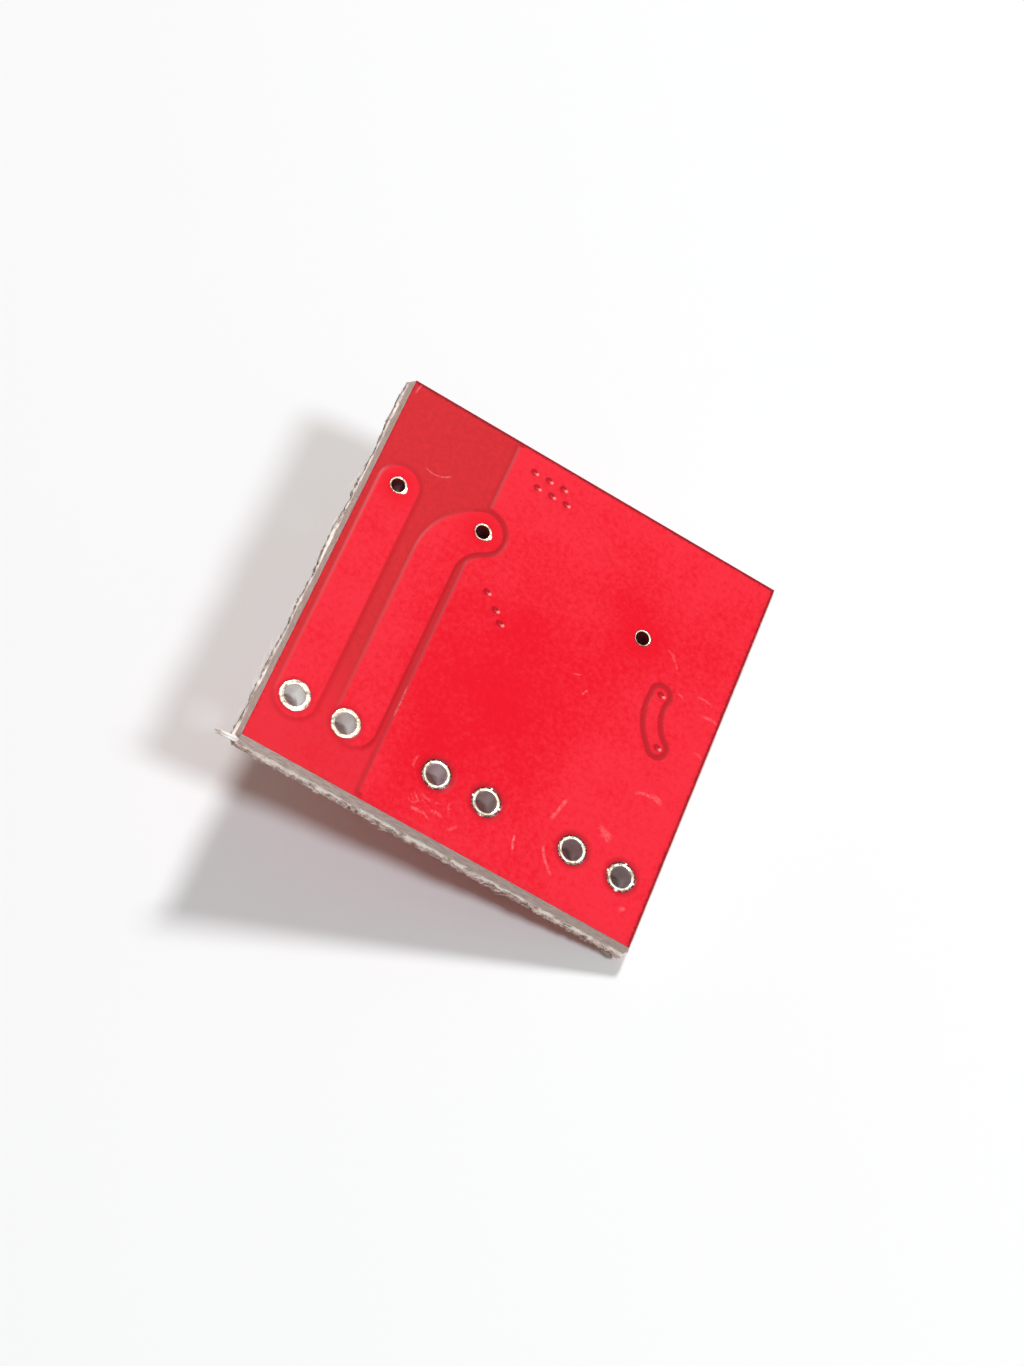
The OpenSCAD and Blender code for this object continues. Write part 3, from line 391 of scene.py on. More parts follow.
# each scuff in millimetres: x and y of three points along it, its half width, and its strength
scuffs = [
    (2.15, 15.87, 2.75, 15.8, 3.4, 16.15, 0.03, 0.5),
    (0.22, 19.0, 0.25, 19.25, 0.3, 19.5, 0.04, 0.6),
    (13.06, 9.7, 13.13, 9.9, 13.25, 10.1, 0.035, 0.5),
    (12.3, 10.45, 12.5, 10.52, 12.7, 10.6, 0.03, 0.35),
    (12.8, 2.05, 12.86, 1.7, 12.98, 1.35, 0.045, 0.75),
    (7.42, 3.15, 7.33, 2.85, 7.4, 2.55, 0.05, 0.4),
    (14.35, 4.8, 14.15, 4.1, 14.02, 3.6, 0.07, 0.4),
    (14.15, 2.3, 14.55, 1.65, 15.0, 1.2, 0.06, 0.4),
    (8.0, 0.78, 8.3, 0.84, 8.6, 0.84, 0.06, 0.45),
    (8.9, 1.12, 9.2, 1.14, 9.5, 1.08, 0.06, 0.45),
    (9.9, 0.65, 10.1, 0.85, 10.25, 1.05, 0.05, 0.35),
    (17.1, 6.72, 17.8, 6.95, 18.45, 6.82, 0.06, 0.35),
    (18.0, 7.1, 18.25, 7.05, 18.5, 6.9, 0.05, 0.3),
    (16.2, 4.42, 16.5, 4.3, 16.95, 4.2, 0.12, 0.32),
    (16.4, 4.15, 16.65, 4.08, 16.9, 4.0, 0.1, 0.3),
    (18.5, 1.35, 18.65, 1.45, 18.8, 1.5, 0.08, 0.5),
    (5.66, 4.2, 5.67, 5.0, 5.66, 5.8, 0.035, 0.35),
    (15.96, 13.95, 16.2, 13.84, 16.37, 13.63, 0.04, 0.3),
    (17.12, 12.21, 17.35, 12.2, 17.54, 12.08, 0.04, 0.3),
    (18.06, 12.58, 18.5, 12.61, 18.91, 12.52, 0.05, 0.25),
    (18.65, 11.8, 19.1, 11.88, 19.5, 11.83, 0.06, 0.3),
    (18.94, 9.95, 19.2, 9.98, 19.45, 9.9, 0.05, 0.25),
    (16.24, 13.93, 16.52, 13.57, 16.83, 13.16, 0.04, 0.2),
    (7.9, 1.55, 8.1, 1.35, 8.35, 1.2, 0.04, 0.35),
    (7.75, 1.15, 8.0, 1.05, 8.2, 1.15, 0.04, 0.3),
    (8.55, 0.98, 8.75, 0.8, 9.0, 0.7, 0.04, 0.35),
    (9.75, 1.3, 9.6, 1.6, 9.55, 1.9, 0.06, 0.2),
    (8.2, 1.62, 8.7, 1.52, 9.2, 1.6, 0.06, 0.2),
]
specks = [(2.4, 18.4), (0.57, 1.27), (3.95, 12.45), (15.05, 9.3), (14.45, 14.65), (18.65, 1.45), (11.5, 14.95)]


def smoothStep(value, low, high):
    t = np.clip((value - low) / (high - low), 0, 1)
    return t * t * (3 - 2 * t)


def circleThrough(a, b, c):
    u, v = b - a, c - a
    twice = 2 * (u[0] * v[1] - u[1] * v[0])
    centre = a + np.array([v[1] * (u @ u) - u[1] * (v @ v), u[0] * (v @ v) - v[0] * (u @ u)]) / twice
    return centre, np.linalg.norm(a - centre)


def scuffField(points):
    # distance across the nearest scuff as a share of its half width, and how far past its ends
    across = np.full(len(points), 9.0)
    beyond = np.full(len(points), 9.0)
    strength = np.zeros(len(points))
    best = np.full(len(points), 1e9)
    for *spots, width, power in scuffs:
        a, b, c = np.reshape(spots, (3, 2))
        centre, radius = circleThrough(a, b, c)
        half = np.linalg.norm(c - a) / 2
        middle = (a + c) / 2
        offset = np.linalg.norm(points - centre, axis=1) - radius
        chord = (c - a) / (2 * half)
        past = np.maximum(np.abs((points - middle) @ chord) - half,
                          np.linalg.norm(points - middle, axis=1) - 1.25 * half)
        score = np.abs(offset) + np.maximum(past, 0)
        near = score < best
        best[near] = score[near]
        across[near] = (offset / width)[near]
        beyond[near] = past[near]
        strength[near] = power
    return across, beyond, strength


def maskGrid(holes):
    # square grid with round holes: cells inside a hole go, and the corners next to it move onto it
    cells = maskLook["cells"]
    steps = np.linspace(0, board["side"], cells + 1)
    points = np.stack(np.meshgrid(steps, steps, indexing="ij"), axis=-1).reshape(-1, 2)
    index = np.arange((cells + 1) ** 2).reshape(cells + 1, cells + 1)
    quads = np.stack([index[:-1, :-1], index[1:, :-1], index[1:, 1:], index[:-1, 1:]], axis=-1).reshape(-1, 4)
    centres = points[quads].mean(axis=1)
    keep = np.ones(len(quads), bool)
    for at, radius in holes:
        keep &= np.linalg.norm(centres - at, axis=1) > radius
    quads = quads[keep]
    pitch = board["side"] / cells
    for at, radius in holes:
        away = points - at
        far = np.linalg.norm(away, axis=1)
        moved = (far > 1e-6) & (far < radius + 0.3 * pitch)
        points[moved] = at + away[moved] / far[moved, None] * radius
    return points, quads


def skirted(points, quads, level):
    # adds a wall from every border edge down to this height
    edges = {}
    for quad in quads.tolist():
        for a, b in zip(quad, quad[1:] + quad[:1]):
            if (b, a) in edges:
                del edges[(b, a)]
            else:
                edges[(a, b)] = True
    border = np.array(list(edges))
    count = len(points)
    upper = points[border.reshape(-1)]
    lower = upper.copy()
    lower[:, 2] = level
    walls = [(count + 2 * i + 1, count + 2 * i, count + len(upper) + 2 * i, count + len(upper) + 2 * i + 1)
             for i in range(len(border))]
    return np.vstack([points, upper, lower]), quads.tolist() + walls, border.reshape(-1)


def maskMaterial(fields):
    # liquid epoxy solder mask, cured by light: an even semi-gloss red with a faint orange peel, brightest where
    # copper throws the light back, duller over bare laminate and darkest in the step beside a track; painted
    # sheen lightens it in broad patches, painted shade darkens the rings round the pads, the sunk wells and the
    # covered vias' dimples, and a painted highlight sits beside each dimple
    material, tree, shader = newMaterial("cured epoxy solder mask", Roughness=maskLook["roughness"],
                                         Specular_IOR_Level=0.05, Coat_Weight=maskLook["gloss"],
                                         Coat_Roughness=0.26)
    place = addNode(tree, "TexCoord").outputs["Object"]
    field = {name: addNode(tree, "Attribute", attribute_name=name).outputs["Fac"] for name in fields}
    peel = perMillimetre(maskLook["peelSize"])
    fine = addNode(tree, "TexNoise", {"Vector": place, "Scale": peel, "Detail": 5.0, "Roughness": 0.7})
    broad, crumbs, skips = (addNode(tree, "TexNoise", {"Vector": place, "Scale": perMillimetre(size),
                                                       "Detail": 3.0}) for size in maskLook["noiseSizes"])
    # painted sheen, mixed in through broad and fine blotches
    uneven = addNode(tree, "Math", (broad, 0.9, field["haze"]), operation="MULTIPLY_ADD")
    uneven = addNode(tree, "Math", (fine, 2.0, uneven), operation="MULTIPLY_ADD")
    colour = twoTone(tree, uneven, 1.45, 2.45, maskLook["overCopper"], maskLook["haze"])
    dull = twoTone(tree, fine, 0.3, 0.7, maskLook["overLaminate"], maskLook["laminateMottle"], (0.0, 0.6))
    # darker red in each covered via's dimple: mask over the bare hole, darkened further as painted shade
    pit = addNode(tree, "MapRange", (field["viaReach"], 0.1, 0.21, 0.6, 0.0), **soft)
    # painted highlight: a pink spot on the rim of each dimple, shifted to one side
    glint = addNode(tree, "MapRange", (field["viaShoulder"], 0.04, 0.11, 0.85, 0.0), **soft)
    ragged = addNode(tree, "Math", (crumbs, 0.9, field["rim"]), operation="MULTIPLY_ADD")
    edge = addNode(tree, "MapRange", (ragged, 0.75, 1.3, 0.0, 0.9), **soft)
    line = addNode(tree, "Math", (field["across"],), operation="ABSOLUTE")
    rubbed = addNode(tree, "MapRange", (line, 0.3, 1.8, 1.0, 0.0), **soft)
    ends = addNode(tree, "MapRange", (field["beyond"], -0.2, 0.08, 1.0, 0.0), **soft)
    skips = addNode(tree, "MapRange", (skips, 0.3, 0.62, 0.1, 1.0), **soft)
    for share in (ends, field["scuffStrength"], skips):
        rubbed = addNode(tree, "Math", (rubbed, share), operation="MULTIPLY")
    # painted shade: near-black in the sunk ring round each pad whose opening is wider than the pad
    well = addNode(tree, "MapRange", (field["well"], -0.012, 0.01, 0.0, 1.0), **soft)
    for share, layer in ((field["viaSide"], maskLook["nearVias"]), (field["bare"], dull),
                         (field["besideCopper"], maskLook["besideCopper"]), (pit, maskLook["pit"]),
                         (glint, maskLook["glint"]), (edge, maskLook["rim"]), (rubbed, maskLook["scuff"]),
                         (well, maskLook["well"])):
        colour = addNode(tree, "Mix", {0: share, 6: colour, 7: layer}, **rgb)
    swell = addNode(tree, "TexNoise", {"Vector": place, "Scale": peel, "Detail": 3.0})
    height = addNode(tree, "Math", (rubbed, -0.6, swell), operation="MULTIPLY_ADD")
    lip = addNode(tree, "MapRange", (field["viaReach"], 0.2, 0.32, 3.0, 0.0), **soft)
    crater = addNode(tree, "MapRange", (field["viaReach"], 0.08, 0.2, -5.5, 0.0), **soft)
    for part in (lip, crater):
        height = addNode(tree, "Math", (height, part))
    relief = addNode(tree, "Bump", {"Height": height, "Distance": maskLook["peelDepth"] * millimetre})
    joinSurface(tree, shader, colour, relief)
    return material


def makeBackMask():
    speakerHoles = [at for name, at in wireHoles.items() if name.startswith("speaker")]
    otherHoles = [at for name, at in wireHoles.items() if not name.startswith("speaker")]
    openings = [(at, maskLook["padOpening"]) for at in otherHoles]
    openings += [(at, maskLook["speakerOpening"]) for at in speakerHoles]
    openings += [(at, maskLook["viaOpening"]) for at in openVias.values()]
    flat, quads = maskGrid(openings)
    names = ("back_plane", "speaker_plus_track", "speaker_minus_track", "jumper_track")
    copper = signedDistance(flat, withoutSmallHoles(outlineSegments(names, 0.035)))
    low = maskLook["bareHeight"]
    height = low + (board["skin"] - low) * smoothStep(copper, *maskLook["copperStep"])
    apart = apartFrom(flat, coveredVias)
    height -= maskLook["dimpleDepth"] * np.clip(1 - (apart / maskLook["dimpleRadius"]) ** 2, 0, 1) ** 1.4
    for at in specks:
        away = np.linalg.norm(flat - np.array(at), axis=1)
        height += maskLook["speckHeight"] * np.exp(-(away / maskLook["speckRadius"]) ** 2)
    padApart = apartFrom(flat, otherHoles)
    well = np.maximum(-1.0, maskLook["wellRadius"] - padApart)
    height = np.where(well > 0, maskLook["wellHeight"], height)
    x, y = flat.T
    insets = np.stack([y, board["side"] - x, board["side"] - y, x])
    rimShare = np.array(maskLook["rimShare"])[:, None]
    rim = ((1 - smoothStep(insets, 0.0, 0.3)) * rimShare).max(axis=0)
    planeMargin = (insets.min(axis=0) < maskLook["marginWidth"]) & (x > maskLook["planeLeft"])
    bare = (1 - smoothStep(copper, -0.05, 0.03)) * (0.35 + 0.65 * smoothStep(y, 1.5, 7.0))
    bare[planeMargin] = 0.0
    beside = smoothStep(copper, -0.34, -0.04) * (1 - smoothStep(copper, -0.03, 0.02))
    beside *= np.where((x > 5.0) | (y > 16.5), 0.75, 0.4)      # narrow gaps fill with mask, so they look deeper
    beside[planeMargin] *= 0.12
    byPad = smoothStep(padApart, 1.25, 0.95)
    bare *= 1 - 0.7 * byPad
    beside *= 1 - 0.55 * byPad
    holeApart = apartFrom(flat, list(wireHoles.values()))
    # painted shade in rings round the pads, added to the deeper mask beside copper
    for (near, far, most), where in ((maskLook["wellCollar"], padApart < 1.0), (maskLook["padCollar"], True)):
        beside = np.maximum(beside, most * (1 - smoothStep(holeApart, near, far)) * where)
    # painted sheen over the whole mask, less in two areas
    haze = np.full(len(flat), maskLook["hazeMost"])
    for atX, atY, wide, tall, clear in maskLook["clearAreas"]:
        haze -= clear * np.exp(-(((x - atX) / wide) ** 2 + ((y - atY) / tall) ** 2))
    across, beyond, strength = scuffField(flat)
    values = {
        "bare": bare,
        "besideCopper": beside,
        "viaSide": np.exp(-(apartFrom(flat, list(openVias.values())) / 0.95) ** 2) * (copper > -0.02),
        "viaReach": apart,
        # distance to where each dimple's painted highlight sits
        "viaShoulder": apartFrom(flat, coveredVias + maskLook["glintShift"]),
        "haze": haze,
        "rim": rim,
        "well": well,
        "across": across,
        "beyond": beyond,
        "scuffStrength": strength,
    }
    points, faces, border = skirted(np.column_stack([flat, height]), quads, 0.0)
    piece = newPiece("backSolderMask", points, faces, maskMaterial(values))
    for name, value in values.items():
        pointValues(piece, name, np.concatenate([value, value[border], value[border]]))
    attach(piece, "root")
    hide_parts("back_solder_mask")
    print("back solder mask:", len(faces), "faces")


makeBackMask()


tinLook = {
    "padHole": 0.497,
    "frontRadius": 0.68,
    "rims": {"speaker_plus": 0.725, "speaker_minus": 0.69},
    "plainRim": 0.635,    # the four rings whose mask opening is wider than the pad
    "viaHole": 0.33,
    "viaRadius": 0.41,
    "groundViaRadius": 0.39,
    "viaLean": (0.16, radians(-17)),    # how far and which way a speaker via's rim is drawn out
    "rimLevel": 0.02,     # height at the rim, where it runs under no mask
    "proudPad": (0.078, 0.066),         # heights of ring and rim that stand over the mask
    "proudVia": (0.078, 0.064),
    "edgeCurve": 0.05,
    "crown": 0.018,       # how far the tin swells above its flat height
    "sides": 96,
    "spokeWidth": 0.15,
    "patchSize": 0.34,
    "spotSize": 0.2,
    "rippleSize": 0.26,
    "rippleDepth": 0.02,
    "bright": "#FAF7EE",
    "cream": "#E4D6BC",
    "stain": "#9C8A78",
    "holeWalls": {        # painted light near the back face, painted shade deep inside, metallic
        "speaker_plus": ("#FFFDFA", "#8E8084", 0.35),
        "speaker_minus": ("#F6F0EE", "#8A7C80", 0.45),
        "supply_plus": ("#F2E6EA", "#94848A", 0.7),
    },
    # the same painted light and painted shade for the other wire holes, and dark red-brown painted shade in the
    # vias
    "plainWall": ("#E6DEDE", "#958A8A", 0.75),
    "viaWall": ("#8A3238", "#5E1A22", 0.2),
}


def tinMaterial():
    # hot-air levelled tin: it froze while it flowed, so it is bright, low and uneven, cream and grey where
    # it is thin
    material, tree, shader = newMaterial("levelled tin", Metallic=1.0, Roughness=0.26)
    place = addNode(tree, "TexCoord").outputs["Object"]
    patches, spots, ripples = (
        addNode(tree, "TexNoise", {"Vector": place, "Scale": perMillimetre(tinLook[size]), "Detail": detail})
        for size, detail in (("patchSize", 3.0), ("spotSize", 2.0), ("rippleSize", 1.0)))
    colour = twoTone(tree, patches, 0.46, 0.6, tinLook["cream"], tinLook["bright"])
    colour = twoTone(tree, spots, 0.4, 0.48, colour, tinLook["stain"], (0.85, 0.0))
    sheen = addNode(tree, "MapRange", (patches, 0.3, 0.7, 0.36, 0.2), **soft)
    tree.links.new(sheen.outputs[0], shader.inputs["Roughness"])
    relief = addNode(tree, "Bump", {"Height": ripples, "Distance": tinLook["rippleDepth"] * millimetre})
    joinSurface(tree, shader, colour, relief)
    return material


def wallMaterial(name, upper, lower, metallic):
    # plated hole wall: drilled, then plated, so smoother and greyer than the ring; its colour runs from a
    # painted lit tone at the top to painted shade where it is deep
    material, tree, shader = newMaterial(name, Metallic=metallic, Roughness=0.36)
    place = addNode(tree, "TexCoord").outputs["Object"]
    depth = addNode(tree, "Attribute", attribute_name="depth").outputs["Fac"]
    grain = addNode(tree, "TexNoise", {"Vector": place, "Scale": perMillimetre(0.28), "Detail": 3.0})
    deep = addNode(tree, "Math", (grain, 0.5, depth), operation="MULTIPLY_ADD")
    colour = twoTone(tree, deep, -0.75, -1.3, upper, lower)
    relief = addNode(tree, "Bump", {"Height": grain, "Distance": 0.006 * millimetre})
    joinSurface(tree, shader, colour, relief)
    return material


def ringProfile(hole, rim, level, rimLevel, steps=8):
    # half of a ring's outline, from the hole's wall to the rim: radius and height
    curve = tinLook["edgeCurve"]
    profile = [(hole, 0.0)]
    for i in range(steps):
        a = pi - i / (steps - 1) * pi / 2
        profile.append((hole + curve + curve * cos(a), level - curve + curve * sin(a)))
    for i in range(1, steps):
        t = i / (steps - 1)
        swell = tinLook["crown"] * sin(pi * t) * (1 - 0.3 * t)
        drop = (level - rimLevel) * (max(0.0, t - 0.7) / 0.3) ** 2
        profile.append((hole + curve + (rim - hole - curve) * t, level + swell - drop))
    profile.append((rim, 0.004))
    return profile


def tinRing(name, nodeName, at, hole, rim, frontRim, materials, level, rimLevel, spokes=False, lean=(0.0, 0.0)):
    t = board["thickness"]
    back = ringProfile(hole, rim, level, rimLevel)
    under = ringProfile(hole, frontRim, board["ringHeight"], tinLook["rimLevel"])
    front = [(r, -t - z) for r, z in under]
    inner = hole + 0.034
    loop = back[1:] + [(inner, 0.0), (inner, -t)] + front[:0:-1]
    walls = len(loop) - 1
    sides = tinLook["sides"]
    angles = np.arange(sides) / sides * 2 * pi
    wobble = np.ones(sides)
    for swings, size in ((3, 0.02), (8, 0.012), (13, 0.01)):
        wobble += size * np.sin(angles * swings + rng.uniform(0, 6))
    points, faces, kinds = [], [], []
    for s in range(sides):
        a = angles[s]
        for r, z in loop:
            outside = max(0.0, (r - hole) / (rim - hole) - 0.35)
            reach = r + (wobble[s] - 1) * rim * outside
            pull = max(0.0, cos(a - lean[1])) ** 8 * lean[0] * outside if z > -t / 2 else 0.0
            points.append((at[0] + (reach + pull) * cos(a), at[1] + (reach + pull) * sin(a), z))
    n = len(loop)
    for s in range(sides):
        for i in range(n):
            a, b = s * n + i, s * n + (i + 1) % n
            c, d = ((s + 1) % sides) * n + (i + 1) % n, ((s + 1) % sides) * n + i
            faces.append((a, b, c, d))
            kinds.append(1 if i == walls else 0)
    if spokes:
        addSpokes(points, faces, at, rim)
        kinds += [0] * (len(faces) - len(kinds))
    piece = newPiece(name, points, faces, materials[0])
    piece.data.materials.append(materials[1])
    piece.data.polygons.foreach_set("material_index", kinds)
    pointValues(piece, "depth", [p[2] for p in points])
    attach(piece, "root")
    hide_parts(nodeName)


def addSpokes(points, faces, at, start):
    # four short arched stubs that run from the ring under the solder mask
    half = tinLook["spokeWidth"] / 2
    for quarter in range(4):
        a = quarter * pi / 2
        along = np.array([cos(a), sin(a)])
        aside = np.array([-sin(a), cos(a)])
        first = len(points)
        rows = [(start - 0.06, 0.06), (start + 0.02, 0.068), (start + 0.07, 0.06), (start + 0.1, 0.036)]
        arch = [(-1.0, -0.05), (-0.75, 0.8), (0.0, 1.0), (0.75, 0.8), (1.0, -0.05)]
        for r, top in rows:
            for u, v in arch:
                xy = at + along * r + aside * half * u
                points.append((xy[0], xy[1], top * v))
        for i in range(len(rows) - 1):
            for j in range(len(arch) - 1):
                b = first + i * len(arch) + j
                faces.append((b, b + 1, b + 1 + len(arch), b + len(arch)))


def makeTin():
    tin = tinMaterial()
    for name, at in wireHoles.items():
        base = name.replace("_hole", "")
        wide = base in tinLook["rims"]
        wall = wallMaterial("plated wire hole " + base.replace("_", " "),
                            *tinLook["holeWalls"].get(base, tinLook["plainWall"]))
        heights = tinLook["proudPad"] if wide else (board["ringHeight"], tinLook["rimLevel"])
        tinRing("tin" + base.title().replace("_", ""), base + "_pad", at, tinLook["padHole"],
                tinLook["rims"].get(base, tinLook["plainRim"]), tinLook["frontRadius"], (tin, wall),
                *heights, spokes=base.endswith("minus") and not wide)
    viaWall = wallMaterial("plated via wall", *tinLook["viaWall"])
    for name, at in openVias.items():
        ground = name == "ground_via"
        tinRing("tin" + name.title().replace("_", ""), name, at, tinLook["viaHole"],
                tinLook["groundViaRadius" if ground else "viaRadius"], tinLook["viaRadius"], (tin, viaWall),
                *tinLook["proudVia"], lean=(0.0, 0.0) if ground else tinLook["viaLean"])
    print("tinned pads and vias made")


makeTin()


edgeLook = {
    "step": 0.046,          # along the edge, in millimetres
    "webReach": 0.02,
    "breakProud": 0.14,
    "webSteps": 14,
    "sideShare": (1.0, 0.3, 0.8, 1.0),   # how far each side's web stands out: bottom, right, top, left
    "sideShade": (0.0, 0.0, 0.0, 0.45),  # how much darker each side's broken face is
    "bevelShade": 0.32,    # and the bottom bevel towards the right
    "bite": 0.3,           # depth of the notches torn out of the web
    "strandDepth": 0.05,
    "scoreShare": (1.0, 1.0, 1.0, 0.82),  # how deep each side was scored
    "strandWidth": 0.1,
    "strandLength": 0.5,
    "chipScale": 5.0,       # noise per millimetre
    "breakScale": 3.0,
    "lipDepth": 0.43,       # the pale line where the cloth parted from the score, brightened further as a painted highlight on the ridge
    "reliefDepth": 0.045,
    "openings": (0.505, 0.355, 0.17),   # radii drilled for wire holes, open vias and covered vias
    "openingSides": 40,
    "bevel": ("#C8ADA3", "#E2CBC2"),
    "strands": ("#AC8F86", "#F7DED4"),
    # pale splinters and the ridge line carry painted highlight, the gaps painted shade
    "splinters": "#FFF0E2",
    "gaps": "#7C655D",
    "lip": "#FFF4E8",
    "shade": "#7C7068",
    "fibres": 560,
    "fibreRadius": 0.01,
    "fibreColours": ("#FFFDFA", "#F8E8E0"),
    "tuftStrands": 120,
    "tuftAt": (-0.15, -0.43),    # past the row of holes, and below the back face
    "tuftRadius": 0.045,
    "hairs": 12,            # long strands lying off the left side
}


def ripple(i):
    return (board["scoreRun"] + edgeLook["webReach"]
            + edgeLook["breakProud"] * (0.5 + 0.3 * sin(radians(i * 137)) + 0.2 * sin(radians(i * 61))))


def webReachAt(sideNumber, along):
    # how far the broken web stands out at this share of the side
    place = along * edgeLook["webSteps"]
    i = min(int(place), edgeLook["webSteps"] - 1)
    first = sideNumber * 20
    reach = ripple(first + i) + (ripple(first + i + 1) - ripple(first + i)) * (place - i)
    return board["scoreRun"] + (reach - board["scoreRun"]) * edgeLook["sideShare"][sideNumber]


def laminateMaterial():
    # woven glass in epoxy, scored and then snapped: a smooth greyish bevel, then a pale torn web whose strands
    # run along the cloth, with pale splinters brightened by painted highlight, gaps darkened by painted shade,
    # and the pale ridge line brightened by painted highlight
    material, tree, shader = newMaterial("snapped glass-fibre laminate", Roughness=0.6,
                                         Specular_IOR_Level=0.3)
    run, depth, shade = (addNode(tree, "Attribute", attribute_name=name).outputs["Fac"]
                         for name in ("run", "depth", "shade"))
    aspect = edgeLook["strandWidth"] / edgeLook["strandLength"]
    stretched = addNode(tree, "Math", (run, aspect), operation="MULTIPLY")
    along = addNode(tree, "CombineXYZ", (stretched, depth))
    streaks = addNode(tree, "TexNoise", {"Vector": along, "Scale": 1 / edgeLook["strandWidth"], "Detail": 5.0,
                                         "Roughness": 0.65})
    squeezed = addNode(tree, "Math", (run, 0.45), operation="MULTIPLY")
    face = addNode(tree, "CombineXYZ", (squeezed, depth))
    chips = addNode(tree, "TexNoise", {"Vector": face, "Scale": edgeLook["chipScale"], "Detail": 4.0})
    level = addNode(tree, "Math", (depth, board["thickness"] / 2))
    level = addNode(tree, "Math", (level,), operation="ABSOLUTE")
    web = addNode(tree, "MapRange", (level, 0.26, 0.36, 1.0, 0.0), **soft)
    bevel = twoTone(tree, streaks, 0.4, 0.62, *edgeLook["bevel"])
    torn = twoTone(tree, streaks, 0.42, 0.56, *edgeLook["strands"])
    # painted highlight on the splinters, painted shade in the gaps
    torn = twoTone(tree, chips, 0.55, 0.64, torn, edgeLook["splinters"], (0.0, 0.85))
    torn = twoTone(tree, chips, 0.43, 0.33, torn, edgeLook["gaps"], (0.0, 0.6))
    colour = addNode(tree, "Mix", {0: web, 6: bevel, 7: torn}, **rgb)
    colour = addNode(tree, "Mix", {0: shade, 6: colour, 7: edgeLook["shade"]}, **rgb)
    # pale ridge line with painted highlight, broken in places
    wander = addNode(tree, "Math", (chips, 0.2, depth), operation="MULTIPLY_ADD")
    wander = addNode(tree, "Math", (wander, edgeLook["lipDepth"]))
    wander = addNode(tree, "Math", (wander,), operation="ABSOLUTE")
    lip = addNode(tree, "MapRange", (wander, 0.03, 0.1, 1.0, 0.0), **soft)
    breaks = addNode(tree, "TexNoise", {"Vector": face, "Scale": edgeLook["breakScale"], "Detail": 2.0})
    breaks = addNode(tree, "MapRange", (breaks, 0.42, 0.54, 0.15, 0.95), **soft)
    lip = addNode(tree, "Math", (lip, breaks), operation="MULTIPLY")
    colour = addNode(tree, "Mix", {0: lip, 6: colour, 7: edgeLook["lip"]}, **rgb)
    height = addNode(tree, "Math", (streaks, chips))
    relief = addNode(tree, "Bump", {"Height": height, "Distance": edgeLook["reliefDepth"] * millimetre})
    joinSurface(tree, shader, colour, relief)
    return material


def waves(t, size, seed):
    # smooth random wave along t, about one swing per size
    place = t / size
    whole = np.floor(place).astype(int)
    local = np.random.default_rng(seed).uniform(-1, 1, 4096)
    part = place - whole
    part = part * part * (3 - 2 * part)
    return local[whole % 4096] * (1 - part) + local[(whole + 1) % 4096] * part


def edgeRows():
    # depth below the back face, share of the score's run, share of the web
    rows = []
    d, t = board["scoreDepth"], board["thickness"]
    for i in range(7):
        rows.append((-d * i / 6, i / 6, 0.0))
    for i in range(17):
        u = i / 16
        rows.append((-d - (t - 2 * d) * u, 1.0, min(1.0, 7 * u, 7 * (1 - u))))
    for i in range(7):
        rows.append((-t + d * (1 - i / 6), 1 - i / 6, 0.0))
    return rows


def sideFrames():
    side = board["side"]
    corners = [(0, 0), (side, 0), (side, side), (0, side)]
    runs = [(1, 0), (0, 1), (-1, 0), (0, -1)]
    outs = [(0, -1), (1, 0), (0, 1), (-1, 0)]
    return [tuple(np.array(v, float) for v in row) for row in zip(corners, runs, outs)]


def edgeColumns():
    side = board["side"]
    frames = sideFrames()
    columns = []
    steps = int(side / edgeLook["step"])
    for number, (start, run, out) in enumerate(frames):
        for i in range(steps + 1):
            columns.append((start + run * side * i / steps, out, number, i / steps))
        after = frames[(number + 1) % 4]
        columns.append((after[0], (out + after[2]) * 0.4, number, 1.0))
    return columns


